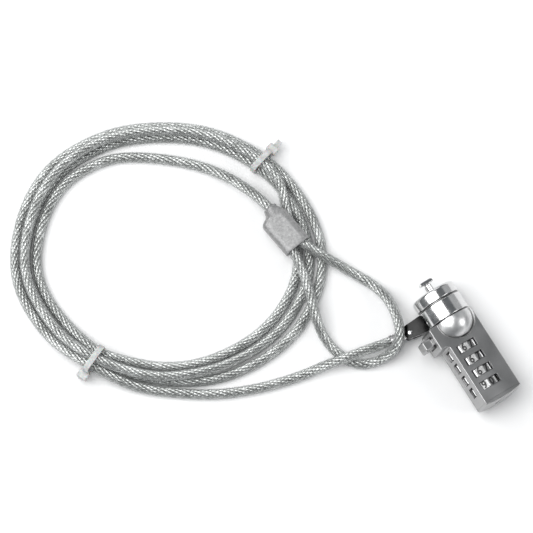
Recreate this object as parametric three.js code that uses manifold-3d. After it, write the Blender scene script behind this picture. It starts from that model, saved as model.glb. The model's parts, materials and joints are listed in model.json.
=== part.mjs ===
// Four-dial laptop cable lock with its coiled steel cable, lying on a table.
// Millimetres, +Z up. The lock's long axis is +Y, with the T-bar that enters the laptop's slot at
// the +Y end. The origin is under the middle of the lock, on the table.

import * as THREE from 'three';
import { mergeVertices } from 'three/addons/utils/BufferGeometryUtils.js';
import Module from 'manifold-3d';

const wasm = await Module();
wasm.setup();

// ---------------------------------------------------------------- driving dimensions
const GAP = 0.3;                          // clearance between pieces that touch on the real lock

const HEAD_R = 9.75;                      // ball, swivel ring and head cap share this radius
const HEAD_AXIS = [4.434, 11.15, HEAD_R]; // a point on the lock's long axis, at the ring's lower face
const HOUSING_ROLL = 12.7;                // degrees: the flat housing leans on the round head
const ROUND = 36;                         // facets of the large round pieces
const SMALL = 16;                         // facets of the small round pieces

const BODY_HALF_W = 8.75;
const FRONT = 6.6;                        // z of the face with the dial windows
const SHELL_BACK = -5.9;
const BACK = -7.2;
const BODY_TOP = -0.4;
const SHELL_END = -38.2;
const CAP_SIDE = -39.2;                   // the end cap is crowned between its sides and its middle
const CAP_END = -40.1;
const SHOULDER_X = -12.4;
const SHOULDER_END = -10.4;
const BALL_Y = -2;
const BALL_CUT = -9.4;
const SOCKET_FLOOR = -9.7;

const DIAL_X = -1.88;
const DIAL_Z = 0.45;
const DIAL_Y = [-14.0, -19.9, -25.8, -31.7];
const DIAL_R = 6.2;
const DIAL_RIM_R = 5.0;
const BAND_HALF = 1.6;                    // half the width of the numbered band
const DIAL_HALF = 2.3;
const DIGITS = 10;
const HUB_R = 3.7;
const CHAMBER_R = 5.35;
const CHAMBER = [-34.5, -11.4];
const DETENT_X = DIAL_X + 6.9;            // the spring strip beside the dials
const SHAFT_R = 1.6;
const DIAL_TURN = [4.4, 4.4, 4.4, -7.6];  // degrees: the combination that the dials are left at

const RING = [0.1, 7.5];                  // the swivel ring's lower and upper face, along Y
const STEM_R = 5.0;
const STEM_TOP = 10.4;
const CAP = [8.2, 13.2];
const BAR_R = 1.1;
const BAR_NECK_R = 1.25;
const BAR_HEAD = [17.1, 18.7];
const SLOT_GUIDE_Z = 2.6;

const BUTTON_Y = -5.4;
const BUTTON_OUT = -17.0;
const BUTTON_IN = -12.8;

const CABLE_R = 2.2;
const ARM_Z = 4.6;                        // height of the yoke arm's middle over the table
const ARM_HALF = 2.5;
const PIN = [-16.4, 3.9];                 // yoke pin, from the head axis
const ARM_TIP = -18.8;
const TERMINAL_TURN = -10;                // degrees: the way the cable leaves the yoke
const TERMINAL_END = 7.6;

// The coil is a loose oval. Its rim radii are 30 degrees apart, starting at COIL_START.
const COIL_CENTRE = [-81.0, 94.9];
const COIL_START = -32;
const COIL_RIM = [64.7, 61.3, 58.2, 57.2, 60.2, 63.9, 63.9, 59.2, 54.2, 55.2, 57.2, 61.3];
const COIL_WIDTH = [10.0, 7.4, 4.5, 4.5, 9.0, 8.9, 8.9, 8.7, 6.4, 10.0, 11.0, 10.6];
const COIL_EDGE = 1.6;                    // the rounded strands reach this far past their middles
const COIL_TOP = 9.0;
const COIL_LOW_TOP = 4.0;                 // where the turns lie side by side under the sleeve

// The sleeve is drawn from the middle of its open end, with the neck at +Y, then turned and placed.
const SLEEVE = { at: [-32.25, 70.3, 8.5], turn: 8.2, length: 20.3, neckX: 1.5 };
const SLEEVE_PITCH = 2.5;                 // half the distance between the two cables in the sleeve
const FERRULE = [4.6, 12.6];

// Routes of the cable's uncoiled stretches, chosen by hand.
const LEAD_ROUTE = [
  [-19.75, 16.43, 4.6], [-23.4, 17.1, 5.2], [-27.6, 17.9, 6.3], [-31.8, 18.7, 7.0],
  [-35.9, 19.4, 7.3], [-39.9, 20.2, 7.3], [-43.6, 21.2, 6.8], [-47.5, 22.2, 5.4],
  [-51.4, 22.9, 3.9], [-56.0, 23.7, 2.7], [-60.7, 24.6, 2.25], [-67.3, 26.2, 2.25],
  [-74.7, 28.4, 2.25], [-80.8, 30.6, 2.25], [-87.8, 33.6, 2.25], [-94.2, 36.9, 2.25],
];
const INNER_ROUTE = [
  [-77.7, 144.3, 2.25], [-68.2, 139.1, 2.25], [-59.7, 132.8, 2.25], [-51.8, 125.8, 2.25],
  [-48.1, 121.9, 2.3], [-44.9, 117.9, 2.7], [-42.2, 113.6, 3.5], [-39.7, 109.1, 4.7],
  [-37.8, 104.4, 6.1], [-36.2, 100.0, 7.4], [-34.8, 95.7, 8.2], [-33.8, 91.0, 8.5],
];
const LOOP_ROUTE = [
  [-30.3, 74.2, 8.5], [-29.8, 71.0, 8.4], [-28.2, 67.2, 7.9], [-26.2, 63.5, 7.3],
  [-24.3, 60.2, 6.6], [-22.5, 57.0, 5.3], [-20.7, 54.0, 3.8], [-19.0, 51.0, 2.8],
  [-16.9, 47.3, 2.3], [-14.8, 43.5, 2.4], [-13.2, 39.5, 3.2], [-12.2, 35.3, 4.6],
  [-11.9, 31.0, 6.4], [-12.4, 27.0, 8.0], [-13.4, 22.7, 9.2], [-14.6, 18.8, 9.8],
  [-16.3, 15.8, 9.8], [-18.5, 13.5, 9.0], [-21.1, 12.4, 7.5], [-24.1, 12.1, 5.6],
  [-27.5, 12.2, 3.8], [-30.9, 12.8, 2.6], [-33.9, 13.9, 2.25], [-36.8, 15.6, 2.25],
  [-39.8, 19.3, 2.25], [-42.0, 25.5, 2.25], [-42.9, 31.9, 2.8], [-42.8, 35.5, 4.2],
  [-42.2, 38.8, 6.0], [-41.3, 42.5, 7.1], [-40.0, 46.1, 7.3], [-38.7, 50.3, 7.3],
  [-37.4, 54.6, 7.3], [-36.3, 58.7, 7.4], [-35.5, 62.8, 7.7], [-35.2, 67.0, 8.2],
  [-34.9, 70.4, 8.4], [-35.25, 73.5, 8.5],
];

// ---------------------------------------------------------------- shape helpers
const rad = THREE.MathUtils.degToRad;

// Merge shared corners, drop collapsed triangles and point the faces outwards.
function weld(geometry) {
  const bare = new THREE.BufferGeometry();
  bare.setAttribute('position', geometry.getAttribute('position').clone());
  if (geometry.index) bare.setIndex(geometry.index.clone());
  const merged = mergeVertices(bare, 1e-4);
  const corner = merged.getAttribute('position');
  const faces = [];
  let volume = 0;
  const [a, b, c] = [new THREE.Vector3(), new THREE.Vector3(), new THREE.Vector3()];
  for (let i = 0; i < merged.index.count; i += 3) {
    const face = [merged.index.getX(i), merged.index.getX(i + 1), merged.index.getX(i + 2)];
    if (face[0] === face[1] || face[1] === face[2] || face[2] === face[0]) continue;
    faces.push(face);
    a.fromBufferAttribute(corner, face[0]);
    b.fromBufferAttribute(corner, face[1]);
    c.fromBufferAttribute(corner, face[2]);
    volume += a.dot(b.cross(c));
  }
  if (volume < 0) faces.forEach((face) => face.reverse());
  merged.setIndex(faces.flat());
  return merged;
}

function toSolid(geometry) {
  const mesh = weld(geometry);
  const vertProperties = new Float32Array(mesh.getAttribute('position').array);
  const triVerts = new Uint32Array(mesh.index.array);
  return new wasm.Manifold(new wasm.Mesh({ numProp: 3, vertProperties, triVerts }));
}

function toGeometry(solid) {
  const mesh = solid.getMesh();
  const geometry = new THREE.BufferGeometry();
  geometry.setAttribute('position', new THREE.BufferAttribute(mesh.vertProperties, 3));
  geometry.setIndex(new THREE.BufferAttribute(mesh.triVerts, 1));
  return geometry;
}

function cut(base, ...tools) {
  const left = tools.reduce((solid, tool) => solid.subtract(toSolid(tool)), toSolid(base));
  return toGeometry(left);
}

function join(base, ...others) {
  const whole = others.reduce((solid, other) => solid.add(toSolid(other)), toSolid(base));
  return toGeometry(whole);
}

// A block between low and high along each axis.
function block([x0, x1], [y0, y1], [z0, z1]) {
  const geometry = new THREE.BoxGeometry(x1 - x0, y1 - y0, z1 - z0);
  return geometry.translate((x0 + x1) / 2, (y0 + y1) / 2, (z0 + z1) / 2);
}

// A round rod along Y.
function rod(radius, [y0, y1], x = 0, z = 0, facets = SMALL) {
  const geometry = new THREE.CylinderGeometry(radius, radius, y1 - y0, facets);
  return geometry.translate(x, (y0 + y1) / 2, z);
}

// A round rod along Z.
function post(radius, [z0, z1], x = 0, y = 0, facets = SMALL) {
  const geometry = new THREE.CylinderGeometry(radius, radius, z1 - z0, facets);
  return geometry.rotateX(Math.PI / 2).translate(x, y, (z0 + z1) / 2);
}

// A solid of revolution about Y, from [radius, y] points.
function turned(profile, facets = ROUND) {
  const points = profile.map(([radius, y]) => new THREE.Vector2(radius, y));
  return new THREE.LatheGeometry(points, facets);
}

// A tube of revolution about Y with chamfered rims.
function collar(inner, outer, [y0, y1], chamfer = 0.2, facets = SMALL) {
  const profile = [
    [inner, y0], [outer - chamfer, y0], [outer, y0 + chamfer],
    [outer, y1 - chamfer], [outer - chamfer, y1], [inner, y1], [inner, y0],
  ];
  return turned(profile, facets);
}

// A flat outline in X and Y, raised between two heights, with chamfered edges.
function slab(shape, [z0, z1], chamfer, steps = 1) {
  const geometry = new THREE.ExtrudeGeometry(shape, {
    depth: z1 - z0 - 2 * chamfer,
    bevelEnabled: chamfer > 0,
    bevelThickness: chamfer,
    bevelSize: chamfer,
    bevelOffset: -chamfer,
    bevelSegments: steps,
    curveSegments: 4,
  });
  return geometry.translate(0, 0, z0 + chamfer);
}

function roundedRectangle([x0, x1], [y0, y1], r) {
  const shape = new THREE.Shape();
  shape.moveTo(x0 + r, y0);
  shape.lineTo(x1 - r, y0);
  shape.absarc(x1 - r, y0 + r, r, -Math.PI / 2, 0);
  shape.lineTo(x1, y1 - r);
  shape.absarc(x1 - r, y1 - r, r, 0, Math.PI / 2);
  shape.lineTo(x0 + r, y1);
  shape.absarc(x0 + r, y1 - r, r, Math.PI / 2, Math.PI);
  shape.lineTo(x0, y0 + r);
  shape.absarc(x0 + r, y0 + r, r, Math.PI, 1.5 * Math.PI);
  return shape;
}

// A plain tube of a given radius along a smooth route.
function tube(route, radius, steps, sides = 10) {
  const path = new THREE.CatmullRomCurve3(route.map((point) => new THREE.Vector3(...point)));
  const section = new THREE.Shape();
  for (let i = 0; i < sides; i += 1) {
    const turn = (2 * Math.PI * (i + 0.5)) / sides;
    const [u, v] = [radius * Math.cos(turn), radius * Math.sin(turn)];
    if (i === 0) section.moveTo(u, v);
    else section.lineTo(u, v);
  }
  section.closePath();
  return new THREE.ExtrudeGeometry(section, { steps, extrudePath: path, bevelEnabled: false });
}

// ---------------------------------------------------------------- finishes
const finish = (color, roughness, metalness) => () => (
  new THREE.MeshStandardMaterial({ color, roughness, metalness })
);
const chrome = finish(0xd8dadd, 0.08, 1);
const satinZinc = finish(0x9a9c9e, 0.38, 0.9);
const darkNickel = finish(0x4a4c4f, 0.22, 1);
const innerSteel = finish(0x8d9094, 0.4, 0.9);
const springSteel = finish(0x70757a, 0.3, 1);
const brass = finish(0xb59a55, 0.35, 1);
const dialMetal = finish(0xb0b2b5, 0.35, 0.8);
const cableSteel = finish(0x9a9d9c, 0.3, 0.6);
const sleevePlastic = finish(0x8a8d8e, 0.5, 0.1);
const nylon = finish(0xe9eae8, 0.4, 0);

const group = new THREE.Group();
const head = new THREE.Group();           // on the head axis, level with the table
head.position.set(...HEAD_AXIS);
const housing = new THREE.Group();        // the housing leans about the head axis
housing.rotation.y = rad(HOUSING_ROLL);
head.add(housing);
group.add(head);

function place(parent, name, geometry, material) {
  const mesh = new THREE.Mesh(weld(geometry), material());
  mesh.name = name;
  parent.add(mesh);
  return mesh;
}

// ---------------------------------------------------------------- housing
// The housing's outline seen from the front: a bar with a shoulder on the left for the button.
function bodyOutline(y0, corner = 1) {
  const shape = new THREE.Shape();
  const foot = SHOULDER_END + 0.8;
  shape.moveTo(-BODY_HALF_W, y0);
  shape.lineTo(BODY_HALF_W, y0);
  shape.lineTo(BODY_HALF_W, BODY_TOP - corner);
  shape.absarc(BODY_HALF_W - corner, BODY_TOP - corner, corner, 0, Math.PI / 2);
  shape.lineTo(SHOULDER_X + corner, BODY_TOP);
  shape.absarc(SHOULDER_X + corner, BODY_TOP - corner, corner, Math.PI / 2, Math.PI);
  shape.lineTo(SHOULDER_X, SHOULDER_END);
  shape.lineTo(-BODY_HALF_W - 0.8, SHOULDER_END);
  shape.absarc(-BODY_HALF_W - 0.8, foot - 1.6, 0.8, Math.PI / 2, 0, true);
  shape.lineTo(-BODY_HALF_W, y0);
  return shape;
}

function socketTools() {
  const reach = HEAD_R + GAP;
  const profile = [[0, SOCKET_FLOOR]];
  for (let i = 0; i <= 12; i += 1) {
    const y = THREE.MathUtils.lerp(SOCKET_FLOOR, BALL_Y + reach, i / 12);
    profile.push([Math.sqrt(Math.max(0, reach ** 2 - (y - BALL_Y) ** 2)), y]);
  }
  const socket = turned(profile);
  const rim = turned([[0, 5.7], [7.6, 5.7], [8.7, 6.8], [0, 6.8]], ROUND).rotateX(Math.PI / 2);
  return [socket, rim.translate(0, BALL_Y, 0)];
}

function dialTools(y) {
  const pocket = rod(DIAL_R + GAP, [y - BAND_HALF - 0.23, y + BAND_HALF + 0.23], DIAL_X, DIAL_Z, 28);
  const window = block([-6.3, 2.5], [y - 1.78, y + 1.78], [2, 7]);
  const slot = block([-9.2, -5], [y - 2.15, y + 2.15], [DIAL_Z - 2.5, DIAL_Z + 2.5]);
  return [pocket, window, slot];
}

const screwSpots = [[6.9, -11.2], [6.9, -36.5], [-7.2, -36.5], [-10.6, -8.6]];

function bodyShell() {
  const solid = slab(bodyOutline(SHELL_END), [SHELL_BACK, FRONT], 0.25);
  const buttonWell = block([-12.9, -9.4], [BUTTON_Y - 2.6, BUTTON_Y + 2.6], [-3.95, 3.95]);
  const stemSlot = block([-13, -6], [-7.0, -3.8], [2.1, 5.0]);
  const chamber = rod(CHAMBER_R, CHAMBER, DIAL_X, DIAL_Z, 28);
  const chamberBack = block([DIAL_X - 5, DIAL_X + 5], CHAMBER, [-7, DIAL_Z]);
  const shaftHole = rod(SHAFT_R + GAP, [-40, -8], DIAL_X, DIAL_Z);
  const detentWell = block([DETENT_X - 1.05, DETENT_X + 0.75], CHAMBER, [-7, 3.2]);
  const threads = screwSpots.map(([x, y]) => post(0.8, [-7, -2.2], x, y, 12));
  return cut(
    solid, ...socketTools(), ...DIAL_Y.flatMap(dialTools), buttonWell, stemSlot,
    chamber, chamberBack, shaftHole, detentWell, ...threads,
  );
}

function backCover() {
  const plate = slab(bodyOutline(SHELL_END), [BACK, SHELL_BACK - GAP], 0.45);
  const holes = screwSpots.map(([x, y]) => post(0.8, [-8, -5], x, y, 12));
  const seats = screwSpots.map(([x, y]) => post(1.6, [-8, -6.8], x, y, 16));
  return cut(plate, socketTools()[0], ...holes, ...seats);
}

function endCap() {
  const shape = new THREE.Shape();
  shape.moveTo(BODY_HALF_W, SHELL_END - GAP);
  shape.lineTo(-BODY_HALF_W, SHELL_END - GAP);
  shape.lineTo(-BODY_HALF_W, CAP_SIDE);
  shape.quadraticCurveTo(0, 2 * CAP_END - CAP_SIDE, BODY_HALF_W, CAP_SIDE);
  shape.closePath();
  return cut(
    slab(shape, [BACK, FRONT], 0.3),
    rod(1.4, [CAP_END - 1, SHELL_END], DIAL_X, DIAL_Z),
  );
}

function coverScrew([x, y]) {
  return join(
    post(1.35, [-7.15, -6.95], x, y, 16),
    post(0.5, [-7.05, -2.6], x, y, 12),
  );
}

function resetScrew() {
  const stud = rod(1.1, [CAP_END + 0.2, SHELL_END - 0.2], DIAL_X, DIAL_Z, 16);
  const slot = [CAP_END - 0.2, CAP_END + 0.7];
  return cut(stud, block([DIAL_X - 2, DIAL_X + 2], slot, [DIAL_Z - 0.22, DIAL_Z + 0.22]));
}

function detentSpring() {
  const strip = block([DETENT_X, DETENT_X + 0.4], [-34.1, -11.8], [-3.4, 2.8]);
  const bumpX = [DETENT_X - 0.3, DETENT_X + 0.2];
  const bumps = DIAL_Y.map((y) => block(bumpX, [y - 0.9, y + 0.9], [DIAL_Z - 0.6, DIAL_Z + 0.6]));
  return join(strip, ...bumps);
}

place(housing, 'body_shell', bodyShell(), satinZinc);
place(housing, 'back_cover', backCover(), satinZinc);
place(housing, 'end_cap', endCap(), satinZinc);
place(housing, 'reset_screw', resetScrew(), darkNickel);
place(housing, 'detent_spring', detentSpring(), springSteel);
screwSpots.forEach((spot, i) => place(housing, `cover_screw_${i + 1}`, coverScrew(spot), darkNickel));

// ---------------------------------------------------------------- head
function headBall() {
  const profile = [[0, BALL_CUT]];
  const ballY = (y) => Math.sqrt(HEAD_R ** 2 - (y - BALL_Y) ** 2);
  for (let i = 0; i <= 6; i += 1) {
    const y = THREE.MathUtils.lerp(BALL_CUT, -0.3, i / 6);
    profile.push([ballY(y), y]);
  }
  profile.push([STEM_R, -0.3], [STEM_R, 8.0], [3.6, 8.0], [3.6, STEM_TOP], [0, STEM_TOP]);
  return cut(
    turned(profile),
    rod(2.9, [-7.2, 12]),
    rod(BAR_R + GAP, [-8.3, -7]),
    block([-10.6, 3.2], [-7.0, -3.8], [2.1, 5.0]),
    rod(SHAFT_R + GAP, [-10, -8.3], DIAL_X, DIAL_Z),
  );
}

function headCap() {
  const profile = [[0, CAP[0]], [HEAD_R - 0.3, CAP[0]], [HEAD_R, CAP[0] + 0.3]];
  for (let i = 0; i <= 3; i += 1) {
    const turn = rad(30 * i);
    profile.push([HEAD_R - 1.5 + 1.5 * Math.cos(turn), CAP[1] - 1.5 + 1.5 * Math.sin(turn)]);
  }
  profile.push([0, CAP[1]]);
  return cut(
    turned(profile),
    rod(3.9, [8, STEM_TOP + GAP], 0, 0, 24),
    block([-1.35, 1.35], [10, 14], [-3.65, 3.65]),
    rod(1.6, [10, 14]),
  );
}

function guidePin(side) {
  const profile = [[0, 10.8], [0.75, 10.8], [0.75, 16.2], [0.35, 16.6], [0, 16.6]];
  return turned(profile, 14).translate(0, 0, side * SLOT_GUIDE_Z);
}

function tBar() {
  const crossbar = new THREE.Shape();
  crossbar.moveTo(-2.2, BAR_HEAD[1]);
  crossbar.lineTo(2.2, BAR_HEAD[1]);
  crossbar.lineTo(3.05, BAR_HEAD[1] - 0.7);
  crossbar.lineTo(3.05, BAR_HEAD[0]);
  crossbar.lineTo(-3.05, BAR_HEAD[0]);
  crossbar.lineTo(-3.05, BAR_HEAD[1] - 0.7);
  crossbar.closePath();
  return join(
    slab(crossbar, [-1.35, 1.35], 0.2),
    rod(BAR_NECK_R, [11, BAR_HEAD[0] + 0.5]),
    rod(BAR_R, [-7.9, 12]),
  );
}

// The torsion spring that turns the T-bar back across the slot.
function tBarSpring() {
  const turns = 4;
  const path = [];
  for (let i = 0; i <= turns * 10; i += 1) {
    const turn = (2 * Math.PI * i) / 10;
    path.push([2.1 * Math.cos(turn), 0.5 + (i / 10) * 1.15, 2.1 * Math.sin(turn)]);
  }
  return tube(path, 0.34, turns * 10, 5);
}

place(housing, 'head_ball', headBall(), chrome);
place(housing, 'head_cap', headCap(), chrome);
place(housing, 'swivel_washer', collar(5.35, 9.4, [7.7, 8.0], 0.05, ROUND), springSteel);
place(housing, 'guide_pin_1', guidePin(1), chrome);
place(housing, 'guide_pin_2', guidePin(-1), chrome);
place(housing, 't_bar', tBar(), chrome);
place(housing, 'drive_cam', collar(BAR_R + GAP, 2.1, [-6.6, -4.2], 0.15), brass);
place(housing, 't_bar_spring', tBarSpring(), springSteel);

// ---------------------------------------------------------------- button and dials
function pushButton() {
  const face = roundedRectangle([BUTTON_Y - 2.3, BUTTON_Y + 2.3], [-3.65, 3.65], 0.9);
  const headBlock = slab(face, [0, BUTTON_IN - BUTTON_OUT], 0.5);
  // The outline is drawn in Y and Z and raised along X.
  headBlock.rotateY(Math.PI / 2).rotateX(Math.PI / 2);
  return join(
    headBlock.translate(BUTTON_OUT, 0, 0),
    block([BUTTON_IN - 0.4, -0.9], [-6.6, -4.2], [2.5, 4.6]),
  );
}

// A numbered dial: ten flats on the band, parted by raised finger ridges.
function dial() {
  const band = new THREE.Shape();
  const steps = [[-18, DIAL_R], [-13.5, DIAL_R], [-12.5, DIAL_R - 0.3], [12.5, DIAL_R - 0.3], [13.5, DIAL_R]];
  for (let i = 0; i < DIGITS; i += 1) {
    steps.forEach(([degrees, radius], k) => {
      const turn = rad(36 * i + degrees);
      const [u, v] = [radius * Math.cos(turn), radius * Math.sin(turn)];
      if (i === 0 && k === 0) band.moveTo(u, v);
      else band.lineTo(u, v);
    });
  }
  band.closePath();
  const bore = new THREE.Path();
  bore.absarc(0, 0, HUB_R + GAP, 0, 2 * Math.PI, true);
  band.holes.push(bore);
  const ring = slab(band, [-BAND_HALF, BAND_HALF], 0).rotateX(Math.PI / 2);
  return join(ring, collar(HUB_R + GAP, DIAL_RIM_R, [-DIAL_HALF, DIAL_HALF], 0.25, 20));
}

function dialHub() {
  const notch = block([1.5, 2.6], [-3, 3], [-0.5, 0.5]);
  return cut(collar(SHAFT_R + GAP, HUB_R, [-2.0, 2.0], 0.2, SMALL), notch);
}

place(housing, 'push_button', pushButton(), satinZinc);
place(housing, 'locking_shaft', rod(SHAFT_R, [-36.5, -9.2], DIAL_X, DIAL_Z), innerSteel);
DIAL_Y.forEach((y, i) => {
  const dialMesh = place(housing, `dial_${i + 1}`, dial(), dialMetal);
  const hubMesh = place(housing, `dial_hub_${i + 1}`, dialHub(), brass);
  dialMesh.position.set(DIAL_X, y, DIAL_Z);
  dialMesh.rotation.y = rad(DIAL_TURN[i]);
  hubMesh.position.set(DIAL_X, y, DIAL_Z);
});
for (let i = 0; i < 3; i += 1) {
  const y = (DIAL_Y[i] + DIAL_Y[i + 1]) / 2;
  const washer = place(housing, `dial_washer_${i + 1}`, collar(1.9, 4.6, [-0.3, 0.3], 0.1, SMALL), brass);
  washer.position.set(DIAL_X, y, DIAL_Z);
}

// ---------------------------------------------------------------- swivel ring, yoke and terminal
const armZ = ARM_Z - HEAD_R;

function swivelRing() {
  const arm = new THREE.Shape();
  arm.moveTo(-4, RING[0]);
  arm.lineTo(-4, RING[1]);
  arm.lineTo(ARM_TIP + 2.2, RING[1]);
  arm.absarc(ARM_TIP + 2.2, RING[1] - 2.2, 2.2, Math.PI / 2, Math.PI);
  arm.absarc(ARM_TIP + 1.6, RING[0] + 3.5, 1.6, Math.PI, 1.4 * Math.PI);
  arm.lineTo(-9.4, RING[0]);
  arm.closePath();
  const whole = join(
    collar(5.0, HEAD_R, RING, 0.3, ROUND),
    slab(arm, [armZ - ARM_HALF, armZ + ARM_HALF], 0.4),
  );
  return cut(
    whole,
    rod(STEM_R + 0.4, [-1, 9], 0, 0, ROUND),
    block([-20, -12.6], [-2, 10], [armZ - 1.25, armZ + 1.25]),
    post(1.4, [armZ - 4, armZ + 4], ...PIN),
  );
}

function yokePin() {
  return post(1.1, [armZ - 2.4, armZ + 2.4], ...PIN);
}

// The crimped end of the cable, drawn from the pin along -X.
function cableTerminal() {
  const eye = join(
    post(2.3, [-0.9, 0.9]),
    block([-4.6, 0], [-1.5, 1.5], [-0.9, 0.9]),
    collar(0, 2.5, [3.9, TERMINAL_END], 0.4).rotateZ(Math.PI / 2),
  );
  return cut(eye, post(1.4, [-2, 2]));
}

place(head, 'swivel_ring', swivelRing(), darkNickel);
place(head, 'yoke_pin', yokePin(), chrome);
const terminal = place(head, 'cable_terminal', cableTerminal(), innerSteel);
terminal.position.set(PIN[0], PIN[1], armZ);
terminal.rotation.z = rad(TERMINAL_TURN);

// ---------------------------------------------------------------- crimp sleeve
function sleevePlace(geometry) {
  return geometry.rotateZ(rad(SLEEVE.turn)).translate(...SLEEVE.at);
}

function crimpSleeve() {
  const outline = new THREE.Shape();
  outline.moveTo(-6.1, 0);
  outline.lineTo(6.1, 0);
  outline.lineTo(6.1, 15.0);
  outline.lineTo(5.0, 18.2);
  outline.lineTo(4.5, SLEEVE.length);
  outline.lineTo(-1.5, SLEEVE.length);
  outline.lineTo(-2.8, 17.3);
  outline.lineTo(-6.1, 15.6);
  outline.closePath();
  return sleevePlace(cut(
    slab(outline, [-3.7, 3.7], 1.1, 2),
    block([-5.15, 5.15], [-1, 12.8], [-2.55, 2.55]),
    rod(CABLE_R + GAP, [12, 22], SLEEVE.neckX),
  ));
}

function crimpFerrule() {
  const pill = roundedRectangle([-4.7, 4.7], [-2.2, 2.2], 2.1);
  const bore = (side) => rod(1.7, [-30, 30], side * SLEEVE_PITCH, 0);
  const body = slab(pill, [-FERRULE[1], -FERRULE[0]], 0.3).rotateX(Math.PI / 2);
  return sleevePlace(cut(body, bore(-1), bore(1)));
}

place(group, 'crimp_sleeve', crimpSleeve(), sleevePlastic);
place(group, 'crimp_ferrule', crimpFerrule(), innerSteel);

// ---------------------------------------------------------------- cable
function coilOutline(offset) {
  const points = COIL_RIM.map((rim, i) => {
    const turn = rad(COIL_START + 30 * i);
    const radius = rim + offset(i);
    return new THREE.Vector3(radius * Math.cos(turn), radius * Math.sin(turn), 0);
  });
  return new THREE.CatmullRomCurve3(points, true).getPoints(60);
}

function coilPlace(degrees, inward) {
  const step = (degrees - COIL_START) / 30;
  const low = COIL_RIM[Math.floor(step)];
  const high = COIL_RIM[Math.floor(step) + 1];
  const radius = THREE.MathUtils.lerp(low, high, step % 1) - inward;
  return [radius * Math.cos(rad(degrees)), radius * Math.sin(rad(degrees))];
}

// Where each cable tie holds the coil: its angle, the bundle it closes round and its tail.
const TIES = [
  { turn: 202.4, inner: 8.7, outer: -2.4, top: 11.7, tail: 0.6 },
  { turn: 15.0, inner: 6.9, outer: -2.4, top: 9.7, tail: 3.2 },
];

function tiedFrame(geometry, degrees) {
  const [x, y] = coilPlace(degrees, 0);
  return geometry.rotateZ(rad(degrees)).translate(COIL_CENTRE[0] + x, COIL_CENTRE[1] + y, 0);
}

// An upright frame round the opening that a tie leaves for the bundle.
function tieFrame({ inner, outer, top }, wall, clearance, halfWidth) {
  const edge = roundedRectangle([-inner - wall, -outer + wall], [1 - wall, top + wall], 1.6 + wall);
  const low = 1.05 + clearance;
  const hole = roundedRectangle([clearance - inner, -outer - clearance], [low, top - clearance], 1.9);
  edge.holes.push(new THREE.Path(hole.getPoints(4)));
  return slab(edge, [-halfWidth, halfWidth], 0).rotateX(Math.PI / 2);
}

// The tie's band and head, drawn with +X away from the coil's centre.
function cableTie(tie) {
  const { turn, outer, tail } = tie;
  const loop = tieFrame(tie, 1, 0, 1.25);
  const out = -outer;
  return tiedFrame(join(
    loop,
    block([out + 0.5, out + 3.9], [-2.3, 2.3], [3.4, 7.4]),
    block([out + 3.5, out + 3.9 + tail], [-1.1, 1.1], [4.9, 5.9]),
  ), turn);
}

function cableCoil() {
  const rim = new THREE.Shape(coilOutline(() => COIL_EDGE));
  rim.holes.push(new THREE.Path(coilOutline((i) => -COIL_WIDTH[i] - COIL_EDGE)));
  const whole = slab(rim, [0.1, COIL_TOP], 0).translate(...COIL_CENTRE, 0);
  const dip = block([-60, 0], [35, 97], [COIL_LOW_TOP, 12]);
  const pinches = TIES.map((tie) => tiedFrame(tieFrame(tie, 5, GAP, 1.6), tie.turn));
  const channels = [LEAD_ROUTE, INNER_ROUTE].map((route) => tube(route, CABLE_R + GAP, 30));
  return cut(whole, dip, ...pinches, ...channels);
}

place(group, 'cable_lead', tube(LEAD_ROUTE, CABLE_R, 22), cableSteel);
place(group, 'cable_inner', tube(INNER_ROUTE, CABLE_R, 16), cableSteel);
place(group, 'cable_loop', tube(LOOP_ROUTE, CABLE_R, 40), cableSteel);
place(group, 'cable_coil', cableCoil(), cableSteel);
TIES.forEach((tie, i) => place(group, `cable_tie_${i + 1}`, cableTie(tie), nylon));

export default group;
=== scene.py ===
# %% [markdown]
# # A four-dial laptop lock on a coiled steel cable
# The CAD model already fixes where everything is and how it moves. This script dresses it. A laptop
# lock is three kinds of thing at once: a plastic-coated wire rope, a polished swivel head and a satin
# casting with numbered dials. The rope fills most of the view, so it is made first.

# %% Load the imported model
import bmesh
import bpy
import json
import math
import numpy as np
from mathutils import Matrix, Vector


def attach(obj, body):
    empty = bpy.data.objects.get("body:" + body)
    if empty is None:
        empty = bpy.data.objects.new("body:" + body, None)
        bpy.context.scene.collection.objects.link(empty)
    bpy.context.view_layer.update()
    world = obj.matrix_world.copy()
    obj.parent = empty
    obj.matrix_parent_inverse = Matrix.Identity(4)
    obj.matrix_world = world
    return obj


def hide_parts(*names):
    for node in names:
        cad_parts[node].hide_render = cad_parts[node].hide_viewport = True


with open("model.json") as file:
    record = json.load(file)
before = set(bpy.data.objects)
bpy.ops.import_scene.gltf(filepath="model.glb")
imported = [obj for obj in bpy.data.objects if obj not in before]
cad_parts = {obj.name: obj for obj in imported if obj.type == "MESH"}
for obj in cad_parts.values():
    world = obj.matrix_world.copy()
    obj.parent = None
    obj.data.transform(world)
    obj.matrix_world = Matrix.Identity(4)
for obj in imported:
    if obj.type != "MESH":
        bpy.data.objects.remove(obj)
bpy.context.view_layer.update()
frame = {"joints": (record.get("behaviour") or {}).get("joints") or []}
joints = {joint["name"]: joint for joint in frame["joints"]}
MM = 0.001

# %% [markdown]
# ## Camera
# The lock is seen from almost straight above, turned so that the cable runs away to the upper left. A
# long lens from 1.5 m keeps the lines nearly parallel, so near and far turns of the coil look equally
# thick. The camera looks at a point on the table between the coil and the lock.

# %% Camera
VIEW_TURN = math.radians(-32)
VIEW_ELEVATION = math.radians(80)
VIEW_DISTANCE = 1.5
VIEW_WIDTH = 0.223
LOOK_AT = Vector((-0.0470, 0.0714, 0.0))


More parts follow.
